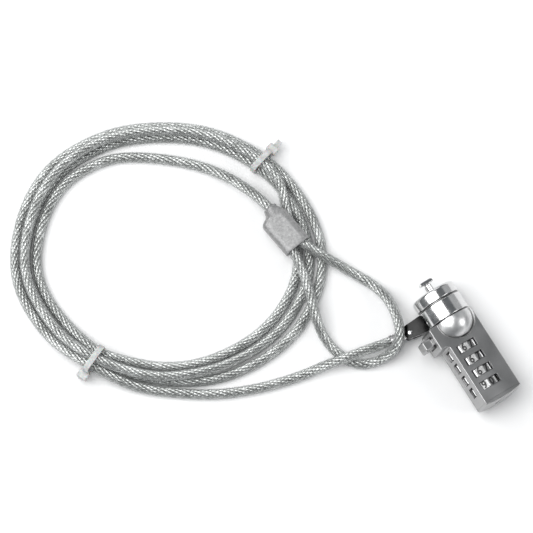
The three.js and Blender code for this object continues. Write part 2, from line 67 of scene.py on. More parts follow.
def make_camera():
    data = bpy.data.cameras.new("camera")
    camera = bpy.data.objects.new("camera", data)
    bpy.context.scene.collection.objects.link(camera)
    flat = math.cos(VIEW_ELEVATION)
    back = Vector((
        math.sin(VIEW_TURN) * flat,
        -math.cos(VIEW_TURN) * flat,
        math.sin(VIEW_ELEVATION),
    ))
    camera.location = LOOK_AT + back * VIEW_DISTANCE
    camera.rotation_mode = "QUATERNION"
    camera.rotation_quaternion = (-back).to_track_quat("-Z", "Y")
    data.lens = data.sensor_width * VIEW_DISTANCE / VIEW_WIDTH
    data.clip_start = 0.1
    data.clip_end = 10
    bpy.context.scene.camera = camera
    return camera


camera = make_camera()
print("camera lens", round(camera.data.lens, 1), "mm")

# %% [markdown]
# ## Helpers for node trees
# Shaders and Geometry Nodes are both graphs, so one small helper adds a node, sets its options, and
# either wires each input or gives it a number. Every tree below is then a short list of steps.

# %% Node helper
def add(tree, kind, inputs=None, **options):
    """Add a node to a tree. An input is given by name or number, as a socket to wire or as a value."""
    node = tree.nodes.new(kind)
    for name, value in options.items():
        setattr(node, name, value)
    for key, value in (inputs or {}).items():
        socket = node.inputs[key]
        if isinstance(value, bpy.types.NodeSocket):
            tree.links.new(value, socket)
        else:
            socket.default_value = value
    return node


def sums(tree, operation, *values):
    """One step of arithmetic. Returns the result's socket."""
    kind = "ShaderNodeMath"
    return add(tree, kind, dict(enumerate(values)), operation=operation).outputs[0]


def vectors(tree, operation, *values):
    """One step of arithmetic on vectors. Returns the result's socket."""
    return add(tree, "ShaderNodeVectorMath", dict(enumerate(values)), operation=operation).outputs[0]


# %% [markdown]
# ## Finishes
# Each finish is a Principled shader whose roughness, bump and tone vary in the way that its making
# leaves them: casting grain, lathe lines, drawn-wire streaks or moulding speckle. Two tones are painted
# light instead: the dial ridges' lighter tone is a painted highlight and the yoke arm's near-black tone
# is painted shade. A shared start makes the shader and returns the tree, so each finish adds only what
# is its own. Patterns are measured in metres on Object coordinates, so a noise scale of 1000 has cells
# of about a millimetre.

# %% Material helpers
def start_material(name, colour, metallic, roughness, **sockets):
    material = bpy.data.materials.new(name)
    material.use_nodes = True
    tree = material.node_tree
    shader = tree.nodes["Principled BSDF"]
    shader.inputs["Base Color"].default_value = (*colour, 1)
    shader.inputs["Metallic"].default_value = metallic
    shader.inputs["Roughness"].default_value = roughness
    for key, value in sockets.items():
        shader.inputs[key.replace("_", " ")].default_value = value
    return material, tree, shader


def place_in(tree, scale=(1, 1, 1), attribute=None):
    """Coordinates for a pattern: the object's own, or a stored attribute, stretched by a scale."""
    if attribute:
        source = add(tree, "ShaderNodeAttribute", attribute_name=attribute).outputs["Vector"]
    else:
        source = add(tree, "ShaderNodeTexCoord").outputs["Object"]
    return add(tree, "ShaderNodeMapping", {"Vector": source, "Scale": scale}).outputs["Vector"]


def noise(tree, place, scale, detail=3.0, roughness=0.5):
    inputs = {"Vector": place, "Scale": scale, "Detail": detail, "Roughness": roughness}
    return add(tree, "ShaderNodeTexNoise", inputs).outputs["Fac"]


def remap(tree, value, low, high, from_low=0.3, from_high=0.7):
    inputs = {0: value, 1: from_low, 2: from_high, 3: low, 4: high}
    return add(tree, "ShaderNodeMapRange", inputs).outputs[0]


def ramp(tree, value, *stops):
    """A colour ramp through (position, colour) stops."""
    node = add(tree, "ShaderNodeValToRGB", {"Fac": value})
    elements = node.color_ramp.elements
    while len(elements) < len(stops):
        elements.new(0.5)
    for element, (position, colour) in zip(elements, stops):
        element.position = position
        element.color = (*colour, 1)
    return node.outputs["Color"]


def add_bump(tree, shader, height, strength, distance):
    inputs = {"Height": height, "Strength": strength, "Distance": distance}
    bump = add(tree, "ShaderNodeBump", inputs)
    tree.links.new(bump.outputs["Normal"], shader.inputs["Normal"])


def grey(value):
    return (value, value, value)


# %% [markdown]
# ### Wire rope and its jacket
# The rope is galvanised wire. Each wire has its own tone and drawn streaks along it, so the pattern
# reads the attribute `lay`, which unrolls the rope: two numbers across it and one along it. The jacket
# is clear PVC. It is nearly invisible face on and milky at its edges, so a facing weight mixes a glossy
# surface into a transparent one.

# %% Cable finishes
def make_cable_steel():
    material, tree, shader = start_material("cable_steel", grey(0.6), 1.0, 0.3)
    across = place_in(tree, (1, 1, 0.02), "lay")
    streak = noise(tree, across, 5200, 2.0)
    cloud = noise(tree, place_in(tree, attribute="lay"), 160, 2.0)
    tone = sums(tree, "ADD", sums(tree, "MULTIPLY", streak, 0.75), sums(tree, "MULTIPLY", cloud, 0.25))
    colour = ramp(tree, tone, (0.32, (0.16, 0.165, 0.16)), (0.5, (0.5, 0.505, 0.495)), (0.64, grey(0.92)))
    tree.links.new(colour, shader.inputs["Base Color"])
    tree.links.new(remap(tree, streak, 0.18, 0.38), shader.inputs["Roughness"])
    add_bump(tree, shader, streak, 0.35, 0.0001)
    return material


def make_clear_jacket():
    material, tree, shader = start_material("clear_jacket", (0.62, 0.63, 0.625), 0.0, 0.1, IOR=1.5)
    haze = noise(tree, place_in(tree, (1, 1, 0.25), "lay"), 900, 3.0)
    tree.links.new(remap(tree, haze, 0.07, 0.2), shader.inputs["Roughness"])
    add_bump(tree, shader, noise(tree, place_in(tree, (1, 1, 0.3), "lay"), 420, 2.0), 0.3, 0.0002)
    edge = add(tree, "ShaderNodeLayerWeight", {"Blend": 0.32}).outputs["Facing"]
    cover = remap(tree, edge, 0.1, 0.55, 0.0, 1.0)
    clear = add(tree, "ShaderNodeBsdfTransparent", {"Color": (0.95, 0.96, 0.955, 1)})
    mix = add(tree, "ShaderNodeMixShader", {0: cover, 1: clear.outputs[0], 2: shader.outputs[0]})
    tree.links.new(mix.outputs[0], tree.nodes["Material Output"].inputs["Surface"])
    return material


cable_steel = make_cable_steel()
clear_jacket = make_clear_jacket()
print("made", cable_steel.name, "and", clear_jacket.name)

# %% [markdown]
# ## The cable's route
# The cable leaves the yoke, runs out to the coil, goes three and a half times round, passes through
# the crimp sleeve, makes the big security loop and comes back into the sleeve, where it ends. The
# uncoiled stretches are lists of points, the same as in the CAD model. Where the cable lies on the
# table, its middle is a little more than its radius above it.

# %% Route of the uncoiled stretches, in millimetres
CABLE_R = 2.2
REST_Z = 2.25
LEAD_ROUTE = [
    (-19.75, 16.43, 4.6), (-23.4, 17.1, 5.2), (-27.6, 17.9, 6.3), (-31.8, 18.7, 7.0),
    (-35.9, 19.4, 7.3), (-39.9, 20.2, 7.3), (-43.6, 21.2, 6.8), (-47.5, 22.2, 5.4),
    (-51.4, 22.9, 3.9), (-56.0, 23.7, 2.7), (-60.7, 24.6, 2.25), (-67.3, 26.2, 2.25),
    (-74.7, 28.4, 2.25), (-80.8, 30.6, 2.25), (-87.8, 33.6, 2.25), (-94.2, 36.9, 2.25),
]
INNER_ROUTE = [
    (-77.7, 144.3, 2.25), (-68.2, 139.1, 2.25), (-59.7, 132.8, 2.25), (-51.8, 125.8, 2.25),
    (-48.1, 121.9, 2.3), (-44.9, 117.9, 2.7), (-42.2, 113.6, 3.5), (-39.7, 109.1, 4.7),
    (-37.8, 104.4, 6.1), (-36.2, 100.0, 7.4), (-34.8, 95.7, 8.2), (-33.8, 91.0, 8.5),
]
LOOP_ROUTE = [
    (-30.3, 74.2, 8.5), (-29.8, 71.0, 8.4), (-28.2, 67.2, 7.9), (-26.2, 63.5, 7.3),
    (-24.3, 60.2, 6.6), (-22.5, 57.0, 5.3), (-20.7, 54.0, 3.8), (-19.0, 51.0, 2.8),
    (-16.9, 47.3, 2.3), (-14.8, 43.5, 2.4), (-13.2, 39.5, 3.2), (-12.2, 35.3, 4.6),
    (-11.9, 31.0, 6.4), (-12.4, 27.0, 8.0), (-13.4, 22.7, 9.2), (-14.6, 18.8, 9.8),
    (-16.3, 15.8, 9.8), (-18.5, 13.5, 9.0), (-21.1, 12.4, 7.5), (-24.1, 12.1, 5.6),
    (-27.5, 12.2, 3.8), (-30.9, 12.8, 2.6), (-33.9, 13.9, 2.25), (-36.8, 15.6, 2.25),
    (-39.8, 19.3, 2.25), (-42.0, 25.5, 2.25), (-42.9, 31.9, 2.8), (-42.8, 35.5, 4.2),
    (-42.2, 38.8, 6.0), (-41.3, 42.5, 7.1), (-40.0, 46.1, 7.3), (-38.7, 50.3, 7.3),
    (-37.4, 54.6, 7.3), (-36.3, 58.7, 7.4), (-35.5, 62.8, 7.7), (-35.2, 67.0, 8.2),
    (-34.9, 70.4, 8.4), (-35.25, 73.5, 8.5),
]
SLEEVE_ENTRY = [(-33.4, 87.9, 8.5), (-32.5, 85.4, 8.5), (-31.6, 82.5, 8.5), (-30.95, 78.6, 8.5)]
SLEEVE_RETURN = [(-35.95, 78.5, 8.5), (-36.55, 82.6, 8.5)]

# %% [markdown]
# ### The coil
# The coil was wound by hand, so it isn't round. Its rim is a list of radii, 30 degrees apart. The turns
# could be a plain spiral, but then they would never cross, and a hand-wound bundle does little else. So
# each turn below is a list of bearing, distance in from the rim, and height.

# %% Route of the coil's turns
COIL_CENTRE = (-81.0, 94.9)
COIL_START = -32
COIL_RIM = [64.7, 61.3, 58.2, 57.2, 60.2, 63.9, 63.9, 59.2, 54.2, 55.2, 57.2, 61.3]
RIM_STEP = 30
COIL_STEP = 8
COIL_ENTRY = 257.2
ENTRY_DEPTH = -3.0
COIL_TURNS = [
    [
        (247, -1.0, 2.25), (238, 0, 2.25), (225, 0, 2.8), (213, 0, 5.0), (202, 0, 6.4),
        (191, 0, 5.0), (180, 0, 2.7), (172, 0, 2.25), (28, 0, 2.3), (15, 0, 3.3), (0, 0, 2.3),
        (-17, 0, 2.25), (-47, 0, 2.25), (-62, 0.3, 2.25), (-77, 1.3, 2.25), (-92, 2.1, 2.25),
        (-107, 3.3, 2.25),
    ],
    [
        (238, 4.5, 2.25), (225, 4.5, 2.3), (213, 3.9, 2.7), (202, 3.1, 3.3), (191, 3.9, 2.7),
        (180, 4.45, 2.3), (172, 4.5, 2.25), (28, 4.5, 2.3), (15, 4.45, 3.3), (0, 4.5, 2.3),
        (-17, 4.8, 2.25), (-32, 5.3, 2.25), (-62, 5.8, 2.25), (-77, 6.5, 2.9), (-92, 6.7, 4.4),
        (-107, 6.7, 6.0),
    ],
    [
        (238, 5.8, 6.7), (218, 4.6, 7.7), (202, 3.1, 9.5), (183, 3.6, 7.8), (168, 4.3, 6.85),
        (118, 4.0, 6.8), (103, 3.2, 6.6), (88, 2.4, 6.3), (73, 2.3, 6.2), (28, 2.2, 6.4),
        (15, 2.2, 7.3), (7, 2.6, 7.15), (2, 3.9, 7.0), (-2, 5.4, 6.7), (-6, 7.3, 5.8),
        (-9, 8.7, 4.3), (-12, 9.3, 3.0), (-17, 9.6, 2.25), (-32, 10.1, 2.25), (-62, 10.8, 2.25),
        (-77, 11.2, 2.25), (-92, 11.2, 2.25), (-107, 10.9, 2.25),
    ],
    [
        (238, 10.4, 2.3), (223, 9.4, 3.2), (213, 8.1, 4.6), (202, 6.2, 6.4), (191, 8.1, 4.3),
        (180, 9.0, 2.6), (168, 9.1, 2.25), (118, 9.1, 2.25), (103, 9.5, 2.25), (94, 9.9, 2.25),
    ],
]


def smooth_between(places, values, wanted):
    """A smooth curve through values at rising places. It never swings past a value."""
    places = np.array(places, float)
    values = np.array(values, float)
    rise = np.diff(values) / np.diff(places)
    product = rise[:-1] * rise[1:]
    total = np.where(product > 0, rise[:-1] + rise[1:], 1)
    slopes = np.concatenate([[0], np.where(product > 0, 2 * product / total, 0), [0]])
    index = np.clip(np.searchsorted(places, wanted) - 1, 0, len(places) - 2)
    span = places[index + 1] - places[index]
    t = (wanted - places[index]) / span
    start = (2 * t**3 - 3 * t**2 + 1) * values[index] + (t**3 - 2 * t**2 + t) * span * slopes[index]
    end = (3 * t**2 - 2 * t**3) * values[index + 1] + (t**3 - t**2) * span * slopes[index + 1]
    return start + end


def coil_rim(bearing):
    """The coil's rim radius at a bearing, in degrees."""
    count = len(COIL_RIM)
    places = [RIM_STEP * i for i in range(-count, 2 * count)]
    turned_by = (np.asarray(bearing, float) - COIL_START) % 360
    return smooth_between(places, COIL_RIM * 3, turned_by)


def coil_points():
    wound, inward, height = [0.0], [ENTRY_DEPTH], [REST_Z]
    for number, turn in enumerate(COIL_TURNS):
        for bearing, depth, z in turn:
            wound.append(360 * number + COIL_ENTRY - bearing)
            inward.append(depth)
            height.append(z)
    steps = np.arange(COIL_STEP, wound[-1], COIL_STEP)
    bearings = COIL_ENTRY - steps
    radius = coil_rim(bearings) - smooth_between(wound, inward, steps)
    z = np.maximum(smooth_between(wound, height, steps), REST_Z)
    x = COIL_CENTRE[0] + radius * np.cos(np.radians(bearings))
    y = COIL_CENTRE[1] + radius * np.sin(np.radians(bearings))
    return [tuple(point) for point in np.stack([x, y, z], axis=1)]


coil_route = coil_points()
print("coil:", len(coil_route), "points in", round(len(coil_route) * COIL_STEP / 360, 2), "turns")

# %% [markdown]
# ### One smooth line
# A rope has no corners, so the points are joined by a curve through them, walked in even steps, and
# eased a little along its length. Even steps also make every ring of the rope's mesh the same size.

# %% Walk the route in even steps
ROUTE_STEP = 1.0
EASE_PASSES = 20


def catmull(points, per_span=12):
    """Points on a curve through all the given points."""
    p = np.array(points, float)
    p = np.vstack([2 * p[0] - p[1], p, 2 * p[-1] - p[-2]])
    t = np.linspace(0, 1, per_span, endpoint=False)[:, None]
    spans = []
    for a, b, c, d in zip(p[:-3], p[1:-2], p[2:-1], p[3:]):
        spans.append(0.5 * (2 * b + (c - a) * t + (2 * a - 5 * b + 4 * c - d) * t**2
                            + (3 * b - a - 3 * c + d) * t**3))
    return np.vstack([*spans, p[-2]])


def even_steps(points, step):
    lengths = np.linalg.norm(np.diff(points, axis=0), axis=1)
    along = np.concatenate([[0], np.cumsum(lengths)])
    wanted = np.linspace(0, along[-1], int(round(along[-1] / step)) + 1)
    return np.stack([np.interp(wanted, along, points[:, axis]) for axis in range(3)], axis=1)


def eased(points, passes):
    """Each point moves towards the middle of its neighbours. The ends stay."""
    points = points.copy()
    for _ in range(passes):
        points[1:-1] = (points[:-2] + 2 * points[1:-1] + points[2:]) / 4
    return points


whole_route = LEAD_ROUTE + coil_route + INNER_ROUTE + SLEEVE_ENTRY + LOOP_ROUTE + SLEEVE_RETURN
cable_line = eased(even_steps(catmull(whole_route), ROUTE_STEP), EASE_PASSES)
cable_line = even_steps(cable_line, ROUTE_STEP) * MM
cable_length = float(np.linalg.norm(np.diff(cable_line, axis=0), axis=1).sum())
print("cable:", round(cable_length, 3), "m in", len(cable_line), "steps")

# %% [markdown]
# ## Rope members by Geometry Nodes
# A wire rope is six strands laid round a core, and each strand is wires laid the other way. A strand
# could be modelled straight and bent with a Curve modifier, but its wires would stretch in the bends.
# Instead one tree walks the route: it pushes each point out sideways by an angle that grows with the
# length walked, which is a helix, and sweeps a lobed section along it, turning it as it goes. With no
# push it makes the core, and with a wide section the jacket, which swells a little over each strand.

# %% Geometry Nodes helpers
def start_tree(name, **sockets):
    """A new tree with a geometry input, named inputs (their defaults are numbers), and an output."""
    tree = bpy.data.node_groups.new(name, "GeometryNodeTree")
    tree.interface.new_socket("Geometry", in_out="INPUT", socket_type="NodeSocketGeometry")
    for label, value in sockets.items():
        if isinstance(value, bpy.types.Material):
            kind = "NodeSocketMaterial"
        elif isinstance(value, tuple):
            kind = "NodeSocketVector"
        elif isinstance(value, int):
            kind = "NodeSocketInt"
        else:
            kind = "NodeSocketFloat"
        socket = tree.interface.new_socket(label.replace("_", " "), in_out="INPUT", socket_type=kind)
        socket.default_value = value
    tree.interface.new_socket("Geometry", in_out="OUTPUT", socket_type="NodeSocketGeometry")
    return tree, tree.nodes.new("NodeGroupInput").outputs


def end_tree(tree, geometry, material):
    """Every tree ends in real geometry with smooth faces and its material."""
    real = add(tree, "GeometryNodeRealizeInstances", {"Geometry": geometry}).outputs[0]
    smooth = add(tree, "GeometryNodeSetShadeSmooth", {0: real}).outputs[0]
    painted = add(tree, "GeometryNodeSetMaterial", {"Geometry": smooth, "Material": material}).outputs[0]
    tree.links.new(painted, tree.nodes.new("NodeGroupOutput").inputs[0])


def grow(name, source, tree, **values):
    """Run a tree on a source object, and keep the result as a plain mesh object."""
    modifier = source.modifiers.new("grow", "NODES")
    modifier.node_group = tree
    for item in tree.interface.items_tree:
        label = item.name.replace(" ", "_")
        if item.in_out == "INPUT" and label in values:
            modifier[item.identifier] = values[label]
    view = bpy.context.evaluated_depsgraph_get()
    mesh = bpy.data.meshes.new_from_object(source.evaluated_get(view))
    source.modifiers.remove(modifier)
    mesh.name = name
    piece = bpy.data.objects.new(name, mesh)
    bpy.context.scene.collection.objects.link(piece)
    return piece


def line_object(name, points):
    """A straight-segment curve through points, to feed a tree."""
    data = bpy.data.curves.new(name, "CURVE")
    data.dimensions = "3D"
    data.twist_mode = "MINIMUM"
    spline = data.splines.new("POLY")
    spline.points.add(len(points) - 1)
    spline.points.foreach_set("co", [value for point in points for value in (*point, 1.0)])
    line = bpy.data.objects.new(name, data)
    bpy.context.scene.collection.objects.link(line)
    return line


def discard(*objects):
    for unwanted in objects:
        bpy.data.objects.remove(unwanted)


# %% [markdown]
# ### The rope tree
# The tree has three parts. The first bends the route into a helix, the second makes the lobed section,
# and the third sweeps the section along the helix and stores how it unrolls, for the wire's streaks.

# %% Build the rope tree
TURN = 2 * math.pi


def make_rope_tree():
    tree, given = start_tree(
        "rope_member", Share=0.0, Lay=0.022, Helix_Radius=0.0, Radius=0.001,
        Lobes=6, Lobe_Depth=0.1, Own_Lay=0.01, Sides=24, Finish=cable_steel,
    )
    line = add(tree, "GeometryNodeSetCurveNormal", {0: given["Geometry"]}).outputs[0]
    walked = add(tree, "GeometryNodeSplineParameter").outputs["Length"]
    capture = add(tree, "GeometryNodeCaptureAttribute", {0: line})
    capture.capture_items.new("FLOAT", "walked")
    tree.links.new(walked, capture.inputs[1])
    line, walked = capture.outputs[0], capture.outputs[1]
    # the helix: out along the normal and the side, by an angle that grows with the length walked
    normal = add(tree, "GeometryNodeInputNormal").outputs[0]
    tangent = add(tree, "GeometryNodeInputTangent").outputs[0]
    side = vectors(tree, "CROSS_PRODUCT", tangent, normal)
    laid = sums(tree, "ADD", sums(tree, "DIVIDE", walked, given["Lay"]), given["Share"])
    angle = sums(tree, "MULTIPLY", laid, TURN)
    out = add(tree, "ShaderNodeVectorMath", {0: normal, "Scale": sums(tree, "COSINE", angle)},
              operation="SCALE").outputs[0]
    across = add(tree, "ShaderNodeVectorMath", {0: side, "Scale": sums(tree, "SINE", angle)},
                 operation="SCALE").outputs[0]
    push = add(tree, "ShaderNodeVectorMath",
               {0: vectors(tree, "ADD", out, across), "Scale": given["Helix Radius"]},
               operation="SCALE").outputs[0]
    line = add(tree, "GeometryNodeSetPosition", {"Geometry": line, "Offset": push}).outputs[0]
    own = sums(tree, "MULTIPLY", sums(tree, "DIVIDE", walked, given["Own Lay"]), TURN)
    line = add(tree, "GeometryNodeSetCurveTilt", {"Curve": line, "Tilt": own}).outputs[0]
    # the section: a circle pressed in between its lobes
    circle = add(tree, "GeometryNodeCurvePrimitiveCircle",
                 {"Resolution": given["Sides"], "Radius": given["Radius"]}).outputs["Curve"]
    place = add(tree, "GeometryNodeInputPosition").outputs[0]
    number = add(tree, "GeometryNodeInputIndex").outputs[0]
    polar = sums(tree, "MULTIPLY", sums(tree, "DIVIDE", number, given["Sides"]), TURN)
    wave = sums(tree, "COSINE", sums(tree, "MULTIPLY", polar, given["Lobes"]))
    dip = sums(tree, "MULTIPLY", sums(tree, "SUBTRACT", wave, 1.0), given["Lobe Depth"])
    scale = sums(tree, "MULTIPLY_ADD", dip, 0.5, 1.0)
    lobed = add(tree, "ShaderNodeVectorMath", {0: place, "Scale": scale}, operation="SCALE").outputs[0]
    section = add(tree, "GeometryNodeSetPosition", {"Geometry": circle, "Position": lobed}).outputs[0]
    rim = add(tree, "GeometryNodeCaptureAttribute", {0: section})
    rim.capture_items.new("VECTOR", "rim")
    tree.links.new(place, rim.inputs[1])
    swept = add(tree, "GeometryNodeCurveToMesh",
                {"Curve": line, "Profile Curve": rim.outputs[0], "Fill Caps": True}).outputs[0]
    # unrolled coordinates for the finishes: two across the member and one along it
    split = add(tree, "ShaderNodeSeparateXYZ", {0: rim.outputs[1]}).outputs
    unrolled = add(tree, "ShaderNodeCombineXYZ", {0: split[0], 1: split[1], 2: walked}).outputs[0]
    stored = add(tree, "GeometryNodeStoreNamedAttribute",
                 {"Geometry": swept, "Name": "lay", "Value": unrolled},
                 data_type="FLOAT_VECTOR", domain="POINT").outputs[0]
    end_tree(tree, stored, given["Finish"])
    return tree


rope_tree = make_rope_tree()
print("rope tree:", len(rope_tree.nodes), "nodes")

# %% [markdown]
# ### Lay the rope
# Six strands and a core fill the jacket. The rope is laid right-handed, so on a run that goes across
# the view the strands slope down to the right. The wires in a strand turn the other way and faster.

# %% Cable pieces
JACKET_R = CABLE_R * MM
STRANDS = 6
STRAND_R = 0.66 * MM
CORE_R = STRAND_R * 0.9
HELIX_R = 1.27 * MM
ROPE_LAY = 22 * MM
WIRE_LAY = -9 * MM
WIRE_DEPTH = 0.2                          # how deep the grooves between wires are, as a share of the radius
JACKET_DEPTH = 0.035


def make_cable():
    line = line_object("route", cable_line)
    pieces = []
    for number in range(STRANDS):
        pieces.append(grow(
            f"cable_strand_{number + 1}", line, rope_tree, Share=number / STRANDS, Lay=ROPE_LAY,
            Helix_Radius=HELIX_R, Radius=STRAND_R, Lobe_Depth=WIRE_DEPTH, Own_Lay=WIRE_LAY, Sides=24,
        ))
    pieces.append(grow(
        "cable_core", line, rope_tree, Radius=CORE_R, Lobe_Depth=WIRE_DEPTH, Own_Lay=WIRE_LAY, Sides=12,
    ))
    jacket = grow(
        "cable_jacket", line, rope_tree, Radius=JACKET_R, Lobe_Depth=JACKET_DEPTH, Own_Lay=ROPE_LAY,
        Sides=24, Finish=clear_jacket,
    )
    discard(line)
    for piece in pieces:
        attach(piece, "cable")
    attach(jacket, "cable")
    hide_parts("cable_lead", "cable_coil", "cable_inner", "cable_loop")
    return jacket, pieces


jacket, rope_pieces = make_cable()
print("jacket:", len(jacket.data.polygons), "faces; a strand:", len(rope_pieces[0].data.polygons))

# %% [markdown]
# ## Mesh helpers
# The lock is turned, cast and moulded parts. `loft` joins rings of points into a closed skin, which
# covers turned work and the moulded sleeve. `prism` raises an outline into a block. `carve` cuts pieces
# out of others, `weld` joins them and `round_edges` breaks their corners. `finish_piece` keeps flat
# faces flat and puts the mesh where it belongs. Everything is drawn in millimetres in a handy frame of
# its own, then placed.

# %% Mesh helpers
SHARP = math.radians(32)


def mesh_object(name, corners, faces):
    mesh = bpy.data.meshes.new(name)
    mesh.from_pydata([tuple(corner) for corner in corners], [], faces)
    work = bmesh.new()
    work.from_mesh(mesh)
    bmesh.ops.remove_doubles(work, verts=work.verts, dist=1e-4)
    bmesh.ops.recalc_face_normals(work, faces=work.faces)
    work.to_mesh(mesh)
    work.free()
    piece = bpy.data.objects.new(name, mesh)
    bpy.context.scene.collection.objects.link(piece)
    return piece


def loft(name, rings, wrap=False):
    """A closed skin over rings with the same number of points. With wrap, the last meets the first."""
    count = len(rings[0])
    corners = [point for ring in rings for point in ring]
    faces = []
    spans = len(rings) if wrap else len(rings) - 1
    for i in range(spans):
        low, high = i * count, ((i + 1) % len(rings)) * count
        for k in range(count):
            after = (k + 1) % count
            faces.append((low + k, low + after, high + after, high + k))
    if not wrap:
        faces.append(tuple(range(count)))
        faces.append(tuple(len(corners) - count + k for k in range(count)))
    return mesh_object(name, corners, faces)


def turned(name, profile, sides=96, wrap=False):
    """Turned work about the Y axis, from (radius, y) points."""
    turns = [TURN * k / sides for k in range(sides)]
    rings = [[(r * math.cos(a), y, r * math.sin(a)) for a in turns] for r, y in profile]
    return loft(name, rings, wrap)


def rounded(corners, steps=6):
    """An outline through (x, y, radius) corners, each rounded by its radius."""
    points = []
    for i, (x, y, radius) in enumerate(corners):
        here = Vector((x, y))
        back = (Vector(corners[i - 1][:2]) - here).normalized()
        ahead = (Vector(corners[(i + 1) % len(corners)][:2]) - here).normalized()
        if radius <= 0:
            points.append((x, y))
            continue
        half = back.angle(ahead) / 2
        centre = here + (back + ahead).normalized() * (radius / math.sin(half))
        first = here + back * (radius / math.tan(half)) - centre
        last = here + ahead * (radius / math.tan(half)) - centre
        sweep = first.angle_signed(last)
        for k in range(steps + 1):
            arm = first.copy()
            arm.rotate(Matrix.Rotation(-sweep * k / steps, 2))
            points.append(tuple(centre + arm))
    return points


def box_corners(x0, x1, y0, y1, radius):
    return [(x0, y0, radius), (x1, y0, radius), (x1, y1, radius), (x0, y1, radius)]


def prism(name, outline, low, high):
    """An outline in X and Y, raised from low to high."""
    return loft(name, [[(x, y, z) for x, y in outline] for z in (low, high)])


def block(name, x, y, z):
    """A block between two values along each axis."""
    return prism(name, [(x[0], y[0]), (x[1], y[0]), (x[1], y[1]), (x[0], y[1])], *z)


def reshape(piece, matrix):
    piece.data.transform(matrix)
    return piece


def apply_modifiers(piece):
    view = bpy.context.evaluated_depsgraph_get()
    mesh = bpy.data.meshes.new_from_object(piece.evaluated_get(view))
    piece.modifiers.clear()
    piece.data = mesh
    return piece


def boolean(piece, others, operation):
    for other in others:
        modifier = piece.modifiers.new("boolean", "BOOLEAN")
        modifier.operation = operation
        modifier.solver = "EXACT"
        modifier.object = other
    apply_modifiers(piece)
    discard(*others)
    return piece


def carve(piece, *cutters):
    return boolean(piece, cutters, "DIFFERENCE")


def weld(piece, *others):
    return boolean(piece, others, "UNION")


def round_edges(piece, width, segments=3, angle=40):
    bevel = piece.modifiers.new("bevel", "BEVEL")
    bevel.width = width
    bevel.segments = segments
    bevel.limit_method = "ANGLE"
    bevel.angle_limit = math.radians(angle)
    bevel.use_clamp_overlap = True
    return apply_modifiers(piece)


def mark(piece, name, value_at):
    """Store a number on every corner of a piece, for its material to read."""
    values = piece.data.attributes.new(name, "FLOAT", "POINT")
    for item, corner in zip(values.data, piece.data.vertices):
        item.value = value_at(corner.co)
    return piece


def finish_piece(piece, body, material, matrix, replaces=()):
    """Mark the sharp edges, keep flat faces flat, place the mesh, and hang it on its CAD body."""
    mesh = piece.data
    work = bmesh.new()
    work.from_mesh(mesh)
    bmesh.ops.remove_doubles(work, verts=work.verts, dist=1e-5)
    for face in work.faces:
        face.smooth = True
    for edge in work.edges:
        edge.smooth = edge.is_manifold and edge.calc_face_angle() < SHARP
    work.to_mesh(mesh)
    work.free()
    flat = piece.modifiers.new("flat", "WEIGHTED_NORMAL")
    flat.keep_sharp = True
    apply_modifiers(piece)
    piece.data.transform(matrix @ Matrix.Scale(MM, 4))
    if not piece.data.materials:
        piece.data.materials.append(material)
    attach(piece, body)
    if replaces:
        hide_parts(*replaces)
    return piece


# %% [markdown]
# ### Frames to draw in
# The lock lies on its side, rolled a little, so its numbers would be awkward on the table's axes. Its
# pieces are drawn with Y along the lock and Z out of the dial face. The roll comes from the button's
# direction, and the origins come from the joints, so the pieces follow the CAD model wherever it puts
# them.

# %% Frames of the lock, from the joints
HEAD_AT = Vector(joints["head_swivel"]["pos_m"])
push = Vector(joints["button_push"]["axis"])
HOUSING_ROLL = math.atan2(-push.z, push.x)
HEAD = Matrix.Translation(HEAD_AT)
HOUSING = HEAD @ Matrix.Rotation(HOUSING_ROLL, 4, "Y")
PIN_AT = (Vector(joints["yoke_pivot"]["pos_m"]) - HEAD_AT) / MM
print("the housing leans by", round(math.degrees(HOUSING_ROLL), 1), "degrees; the pin is at", PIN_AT[:])

# %% [markdown]
# ### Metal and plastic finishes
# The casting is satin plated: a fine peppery grain with soft clouds. The head is polished chrome with
# faint smudges, and the ball in it is a little softer. The yoke arm has the same polish, but its base
# colour is near black, painted shade for the dark room that its faces reflect; the screws share this
# dark nickel. Turned inner parts carry rings.

# %% Metals
def satin(name, low, high, roughness=(0.3, 0.42)):
    material, tree, shader = start_material(name, grey(high), 1.0, roughness[0])
    place = place_in(tree)
    grain = noise(tree, place, 5200, 2.0)
    cloud = noise(tree, place, 90, 3.0)
    tone = sums(tree, "ADD", sums(tree, "MULTIPLY", grain, 0.4), sums(tree, "MULTIPLY", cloud, 0.6))
    tree.links.new(ramp(tree, tone, (0.35, grey(low)), (0.65, grey(high))), shader.inputs["Base Color"])
    tree.links.new(remap(tree, tone, *roughness), shader.inputs["Roughness"])
    add_bump(tree, shader, grain, 0.12, 0.00005)
    return material


def mirror(name, low, high, roughness=(0.12, 0.2)):
    material, tree, shader = start_material(name, grey(high), 1.0, roughness[0])
    smudge = noise(tree, place_in(tree), 260, 4.0, 0.6)
    tree.links.new(ramp(tree, smudge, (0.3, grey(low)), (0.7, grey(high))), shader.inputs["Base Color"])
    softness = add(tree, "ShaderNodeAttribute", attribute_name="softness").outputs["Fac"]
    polish = sums(tree, "ADD", remap(tree, smudge, *roughness), softness)
    tree.links.new(polish, shader.inputs["Roughness"])
    add_bump(tree, shader, noise(tree, place_in(tree), 55, 2.0), 0.05, 0.0003)
    return material


def lathed(name, dark, light, roughness=(0.22, 0.4)):
    """Turned metal: fine rings round the Y axis, which is the lock's long axis."""
    material, tree, shader = start_material(name, light, 1.0, roughness[0])
    rings = noise(tree, place_in(tree, (0.03, 1, 0.03)), 4200, 2.0)
    tree.links.new(ramp(tree, rings, (0.3, dark), (0.7, light)), shader.inputs["Base Color"])
    tree.links.new(remap(tree, rings, *roughness), shader.inputs["Roughness"])
    add_bump(tree, shader, rings, 0.2, 0.00005)
    return material


